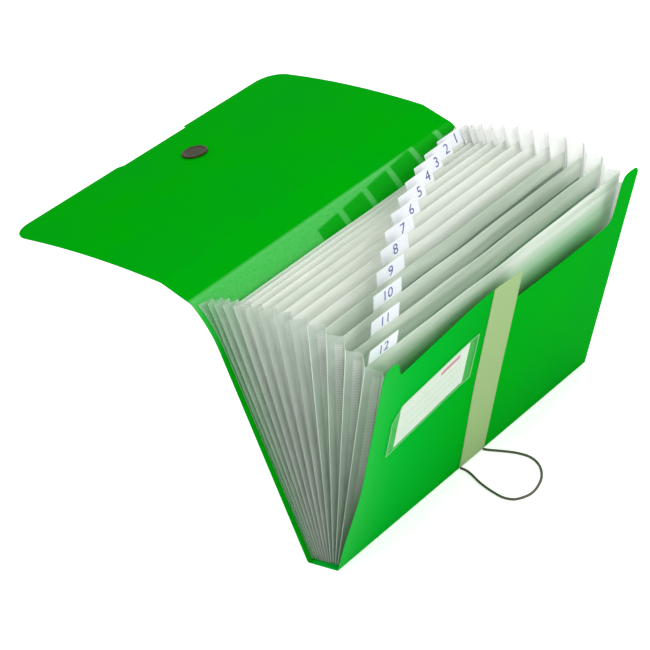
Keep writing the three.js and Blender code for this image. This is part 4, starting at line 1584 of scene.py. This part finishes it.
def pleat(side, number):
    """The V between stations number and number + 1."""

    def place(column, row):
        s = FOLD_ROWS[row]
        rear = station(side, number, s)
        front = station(side, number + 1, s)
        half = (rear - front).length / 2
        depth = math.sqrt(max(GUSSET_PANEL**2 - half**2, GUSSET_LEAST_DEPTH**2))
        across = PLEAT_COLUMNS[column]
        share = abs(across - 0.5) * 2
        on_panel = FOLD_ROUND <= share <= 1 - FOLD_ROUND
        inward = depth * (1 - share) if on_panel else depth * (1 - round(share))
        spot = rear.lerp(front, across)
        toward = (front - rear).normalized() * FOLD_FLAT * (0.5 - across) * 2
        x = side * (fold_reach(side, s) - inward)
        return Vector((x, spot.x + toward.x, spot.y + toward.y)) * MM

    end = END_NAMES[side]
    name = f"pleat_{end}_{number + 1:02d}"
    piece = pressed_sheet(
        name, len(PLEAT_COLUMNS), len(FOLD_ROWS), place, GUSSET_THICKNESS, even=False
    )
    film = LEFT_FILMS[number] if side < 0 else FAR_PLEAT
    return dress(piece, f"gusset_{end}", f"sheet_{max(number, 1):02d}", film)


print("a pleat has", len(PLEAT_COLUMNS), "columns and", len(FOLD_ROWS), "rows")

# %% [markdown]
# Each V is a piece of its own, and rides on one sheet. How flat it must end to fold shut follows from
# the angles at which the sheets and covers stand once the case is shut, with a little room to spare:
# here that share is only worked out, and the V keeps its open shape.

# %% How far a pleat folds
CLOSED_BACK_LEAN = -2.7
CLOSED_FRONT_LEAN = 1.6
CLOSED_FAN = 2.4
SQUASH_REACH = 232.0
SQUASH_SHARE = 0.88
LEAST_KEPT = 0.03
MOST_KEPT = 0.95


def closed_lean(number):
    """The lean of a sheet in the closed case, in degrees from the middle sheet's."""
    if number == 0:
        return CLOSED_BACK_LEAN
    if number == POCKETS:
        return CLOSED_FRONT_LEAN
    return -CLOSED_FAN + 2 * CLOSED_FAN * (number - 1) / (SHEETS - 1)


def fold_shut(piece, number):
    """The share of a pleat's depth that the closed case leaves room for, towards the sheet it rides on.
    The pleat gets a mesh of its own; it is not squashed.
    """
    body_number = max(number, 1)
    other = 0 if number == 0 else number + 1
    lean = sheet_lean(body_number)
    cover_inside = GUSSET_COVER_INSIDE if other in (0, POCKETS) else 0.0
    other_lean = BACK_LEAN if other == 0 else FRONT_LEAN if other == POCKETS else sheet_lean(other)
    gap = 2 * BASE_HALF_DEPTH / POCKETS - cover_inside
    open_room = gap + SQUASH_REACH * math.sin(abs(other_lean - lean))
    closed = math.radians(closed_lean(other) - closed_lean(body_number))
    closed_room = gap + SQUASH_REACH * math.sin(closed if other == 0 else -closed)
    keep = max(LEAST_KEPT, min(MOST_KEPT, SQUASH_SHARE * closed_room / open_room))
    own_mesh(piece)
    return keep


print("sheets fan over", 2 * CLOSED_FAN, "degrees in the closed case")

# %% Both gussets
keeps = []
for side in END_NAMES:
    for number in range(POCKETS):
        keeps.append(fold_shut(pleat(side, number), number))
print("pleats:", len(keeps), "kept thickness from", round(min(keeps), 2), "to", round(max(keeps), 2))

# %% [markdown]
# The front sheets' ends catch the light as thin bright lines down the gusset's folds. They are edges
# of the film, so each is a narrow rib that follows its sheet and rides on it.

# %% Bright ends of the front sheets
RIB_FIRST_SHEET = 9
RIB_WIDTH = 0.5
RIB_THICKNESS = 0.38
RIB_ROWS = 20


def sheet_end_rib(side, number):
    """A narrow rib at the end of a sheet, from its foot to the top of the gusset."""

    def place(column, row):
        along = (GUSSET_HEIGHT - SHEET_LIFT) * row / (RIB_ROWS - 1)
        spot = station(side, number, along)
        x = side * (fold_reach(side, along) + RIB_WIDTH * (column - 0.5))
        return Vector((x, spot.x, spot.y)) * MM

    end = END_NAMES[side]
    piece = pressed_sheet(f"end_rib_{end}_{number:02d}", 2, RIB_ROWS, place, RIB_THICKNESS)
    return dress(piece, f"gusset_{end}", f"sheet_{number:02d}", BRIGHT_EDGE)


rib_numbers = range(RIB_FIRST_SHEET, SHEETS + 1)
end_ribs = [sheet_end_rib(side, number) for side in END_NAMES for number in rib_numbers]
print("bright ends:", len(end_ribs))

# %% [markdown]
# ## Label pocket, card and strap
#
# A clear pocket holds a card on the front cover. Both lie on the cover and follow its bow, so they use
# the cover's own place function, each a layer further out. One upper corner of the pocket is cut off:
# its rows simply end lower there.

# %% Label pocket
POCKET_LEFT = -140.0
POCKET_WIDTH = 113.5
POCKET_RIGHT = POCKET_LEFT + POCKET_WIDTH
POCKET_BOTTOM = 122.0
POCKET_HEIGHT = 50.0
POCKET_TOP = POCKET_BOTTOM + POCKET_HEIGHT
POCKET_CHAMFER = 12.0
POCKET_CORNER = POCKET_LEFT + POCKET_CHAMFER
POCKET_COLUMNS = 49
POCKET_ROWS = 21
FILM_THICKNESS = 0.25
CARD_THICKNESS = 0.25
LAYER_GAP = 0.15
CARD_OUT = COVER_THICKNESS / 2 + LAYER_GAP + CARD_THICKNESS / 2
FILM_OUT = COVER_THICKNESS / 2 + 2 * LAYER_GAP + CARD_THICKNESS + FILM_THICKNESS / 2


def pocket_place(column, row):
    x = POCKET_LEFT + POCKET_WIDTH * column / (POCKET_COLUMNS - 1)
    top = POCKET_TOP - max(0.0, POCKET_CORNER - x)
    s = POCKET_BOTTOM + (top - POCKET_BOTTOM) * row / (POCKET_ROWS - 1)
    return front_point(x, s, FILM_OUT)


pocket_film = pressed_sheet(
    "pocket_film", POCKET_COLUMNS, POCKET_ROWS, pocket_place, FILM_THICKNESS
)
dress(pocket_film, "label_pocket", "front", CLEAR_FILM)
print("label pocket:", len(pocket_film.data.polygons), "faces")

# %% [markdown]
# The pocket is welded to the cover round its edge. The weld shows as a pale line, which is a strip of two
# rows along an outline: each point of it knows the way inward.

# %% Weld round the pocket
WELD_WIDTH = 1.1
WELD_THICKNESS = 0.08
WELD_OUT = FILM_OUT + FILM_THICKNESS / 2 + WELD_THICKNESS
SLANT_INWARD = 0.8


def weld_outline():
    """Points round the pocket, in millimetres on the cover, with the way inward at each."""
    left_side = spread(POCKET_BOTTOM + 2, POCKET_TOP - POCKET_CHAMFER, 12)
    slant = [(x, POCKET_TOP - POCKET_CORNER + x) for x in spread(POCKET_LEFT + 1, POCKET_CORNER, 5)]
    line = [(x, POCKET_BOTTOM, 0, 1) for x in spread(POCKET_RIGHT, POCKET_LEFT, 30)]
    line += [(POCKET_LEFT, s, 1, 0) for s in left_side]
    line += [(x, s, SLANT_INWARD, -SLANT_INWARD) for x, s in slant]
    line += [(x, POCKET_TOP, 0, -1) for x in spread(POCKET_CORNER + 2, POCKET_RIGHT, 30)]
    line += [(POCKET_RIGHT, s, -1, 0) for s in spread(POCKET_TOP - 2, POCKET_BOTTOM, 14)]
    return line


WELD_LINE = weld_outline()


def weld_place(column, row):
    x, s, x_inward, s_inward = WELD_LINE[column]
    return front_point(x + row * WELD_WIDTH * x_inward, s + row * WELD_WIDTH * s_inward, WELD_OUT)


pocket_weld = pressed_sheet("pocket_weld", len(WELD_LINE), 2, weld_place, WELD_THICKNESS)
dress(pocket_weld, "label_pocket", "front", WELD_FILM)
print("weld:", len(WELD_LINE), "points")

# %% Card
CARD_WIDTH = 92.0
CARD_HEIGHT = 46.0
CARD_LEFT = POCKET_LEFT + (POCKET_WIDTH - CARD_WIDTH) / 2
CARD_BOTTOM = POCKET_BOTTOM + (POCKET_HEIGHT - CARD_HEIGHT) / 2
CARD_COLUMNS = 41
CARD_ROWS = 17


def card_place(column, row):
    x = CARD_LEFT + CARD_WIDTH * column / (CARD_COLUMNS - 1)
    s = CARD_BOTTOM + CARD_HEIGHT * row / (CARD_ROWS - 1)
    return front_point(x, s, CARD_OUT)


card = pressed_sheet("label_card_sheet", CARD_COLUMNS, CARD_ROWS, card_place, CARD_THICKNESS)
dress(card, "label_card", "front", CARD_PAPER)
print("card:", len(card.data.polygons), "faces")

# %% [markdown]
# The card has three thin lines to write on and a short red bar. Print has next to no thickness, and could
# be a pattern in the card's finish, but a bar of its own keeps its edges sharp from close by.

# %% Lines printed on the card
PRINT_THICKNESS = 0.05
PRINT_OUT = CARD_OUT + CARD_THICKNESS / 2 + PRINT_THICKNESS
PRINT_COLUMNS = 13
CARD_LINES = [
    ("card_heading", 54.0, 80.0, 37.0, 41.0, RED_PRINT),
    ("card_line_1", 8.0, 84.0, 30.0, 30.5, GREY_PRINT),
    ("card_line_2", 8.0, 84.0, 21.0, 21.5, GREY_PRINT),
    ("card_line_3", 8.0, 84.0, 12.0, 12.5, GREY_PRINT),
]


def card_print(name, left, right, low, high, ink):
    """A plain printed bar, in millimetres from the card's lower left corner."""

    def place(column, row):
        x = CARD_LEFT + left + (right - left) * column / (PRINT_COLUMNS - 1)
        s = CARD_BOTTOM + low + (high - low) * row
        return front_point(x, s, PRINT_OUT)

    piece = pressed_sheet(name, PRINT_COLUMNS, 2, place, PRINT_THICKNESS)
    return dress(piece, "label_card", "front", ink)


card_prints = [card_print(*line) for line in CARD_LINES]
print("printed bars:", len(card_prints))

# %% [markdown]
# The flat strap runs from the crease up to the cut and leans a little. It is limp, so it lies on the
# cover and takes its bow, again through the cover's own place function.

# %% Strap
STRAP_WIDTH = 33.0
STRAP_THICKNESS = 0.6
STRAP_EDGE_ROUND = 0.1
STRAP_BOTTOM = 3.2
STRAP_TOP = HIGH_CUT_HEIGHT + CUT_FILLET / 4
STRAP_TOP_X = -1.5
STRAP_BOTTOM_X = 3.0
STRAP_COLUMNS = 13
STRAP_ROWS = 61
STRAP_OUT = COVER_THICKNESS / 2 + LAYER_GAP + STRAP_THICKNESS / 2


def strap_place(column, row):
    s = STRAP_BOTTOM + (STRAP_TOP - STRAP_BOTTOM) * row / (STRAP_ROWS - 1)
    centre = STRAP_BOTTOM_X + (STRAP_TOP_X - STRAP_BOTTOM_X) * row / (STRAP_ROWS - 1)
    x = centre + STRAP_WIDTH * (column / (STRAP_COLUMNS - 1) - 0.5)
    return front_point(x, s, STRAP_OUT)


strap = pressed_sheet(
    "strap_band", STRAP_COLUMNS, STRAP_ROWS, strap_place, STRAP_THICKNESS, STRAP_EDGE_ROUND
)
dress(strap, "strap", "front", STRAP_WEAVE)
print("strap:", len(strap.data.polygons), "faces")

# %% [markdown]
# ## Table and light
#
# The table is plain white and meets a white surround, so the case stands on white. That white is added
# only for what the camera sees, straight or in a reflection, and so it never lights the case. The table
# keeps the case's soft shadow. It lies a tenth of a millimetre low, clear of the base panel's underside.

# %% Seen or mirrored
TABLE_SIZE = 12
TABLE_LOWER = 0.1
TABLE_GLOW = 0.6
WORLD_LEVEL = 0.75
WHITE = (1, 1, 1, 1)


def seen_or_mirrored(tree):
    """1 for rays from the camera, also by way of gloss or glass, and 0 for those that light."""
    path = add_node(tree, "ShaderNodeLightPath")
    glossy = path.outputs["Is Glossy Ray"]
    mirrored = joined(tree, glossy, path.outputs["Is Transmission Ray"], "MAXIMUM")
    return joined(tree, path.outputs["Is Camera Ray"], mirrored, "MAXIMUM")


print("the table glows by", TABLE_GLOW, "where it is seen")

# %% Table
bpy.ops.object.select_all(action="DESELECT")
bpy.ops.mesh.primitive_plane_add(size=TABLE_SIZE, location=(0, 0, -TABLE_LOWER * MM))
floor = bpy.context.active_object
floor.name = "table_top"


def floor_finish():
    finish, tree, shader = new_finish("table_white", (0.9, 0.9, 0.9), 0.9)
    glow = add_node(tree, "ShaderNodeMath", operation="MULTIPLY")
    glow.inputs[1].default_value = TABLE_GLOW
    tree.links.new(seen_or_mirrored(tree), glow.inputs[0])
    shader.inputs["Emission Color"].default_value = WHITE
    tree.links.new(glow.outputs["Value"], shader.inputs["Emission Strength"])
    return finish


floor.data.materials.append(floor_finish())
print("table:", floor.name)

# %% White surround
world = bpy.data.worlds.new("white_room")
bpy.context.scene.world = world
world.use_nodes = True
background = world.node_tree.nodes["Background"]
background.inputs["Color"].default_value = WHITE


def white_where_seen(tree):
    """The surround is plain white where it is seen or reflected, and a little lower as a light."""
    level = ranged(tree, seen_or_mirrored(tree), 0.0, 1.0, WORLD_LEVEL, 1.0)
    tree.links.new(level, background.inputs["Strength"])


white_where_seen(world.node_tree)
print("surround as a light:", WORLD_LEVEL)

# %% [markdown]
# Light passes through a dozen layers of film and bounces on between them, so the paths of light may be
# long here: cut short, they would leave the pockets dark. The lamps are wide and soft, at a level where
# a colour renders about as it is written.

# %% Paths of light and lamps
MOST_BOUNCES = 16
DIFFUSE_BOUNCES = 8
LAYERS_PASSED = 64
LAMP_TARGET = Vector((0, 0.05, 0.12))

paths = bpy.context.scene.cycles
paths.max_bounces = MOST_BOUNCES
paths.diffuse_bounces = DIFFUSE_BOUNCES
paths.transparent_max_bounces = LAYERS_PASSED


def soft_lamp(name, place, size, power):
    data = bpy.data.lights.new(name, "AREA")
    data.shape = "SQUARE"
    data.size = size
    data.energy = power
    lamp = bpy.data.objects.new(name, data)
    lamp.location = place
    lamp.rotation_euler = (LAMP_TARGET - Vector(place)).to_track_quat("-Z", "Y").to_euler()
    bpy.context.scene.collection.objects.link(lamp)


soft_lamp("key_lamp", (-0.3, -0.6, 2.1), 1.2, 10)
soft_lamp("front_lamp", (-0.5, -1.9, 0.8), 1.0, 16)
soft_lamp("far_lamp", (1.6, 0.8, 1.4), 1.4, 8)
print("lamps:", [light.name for light in bpy.data.lights])
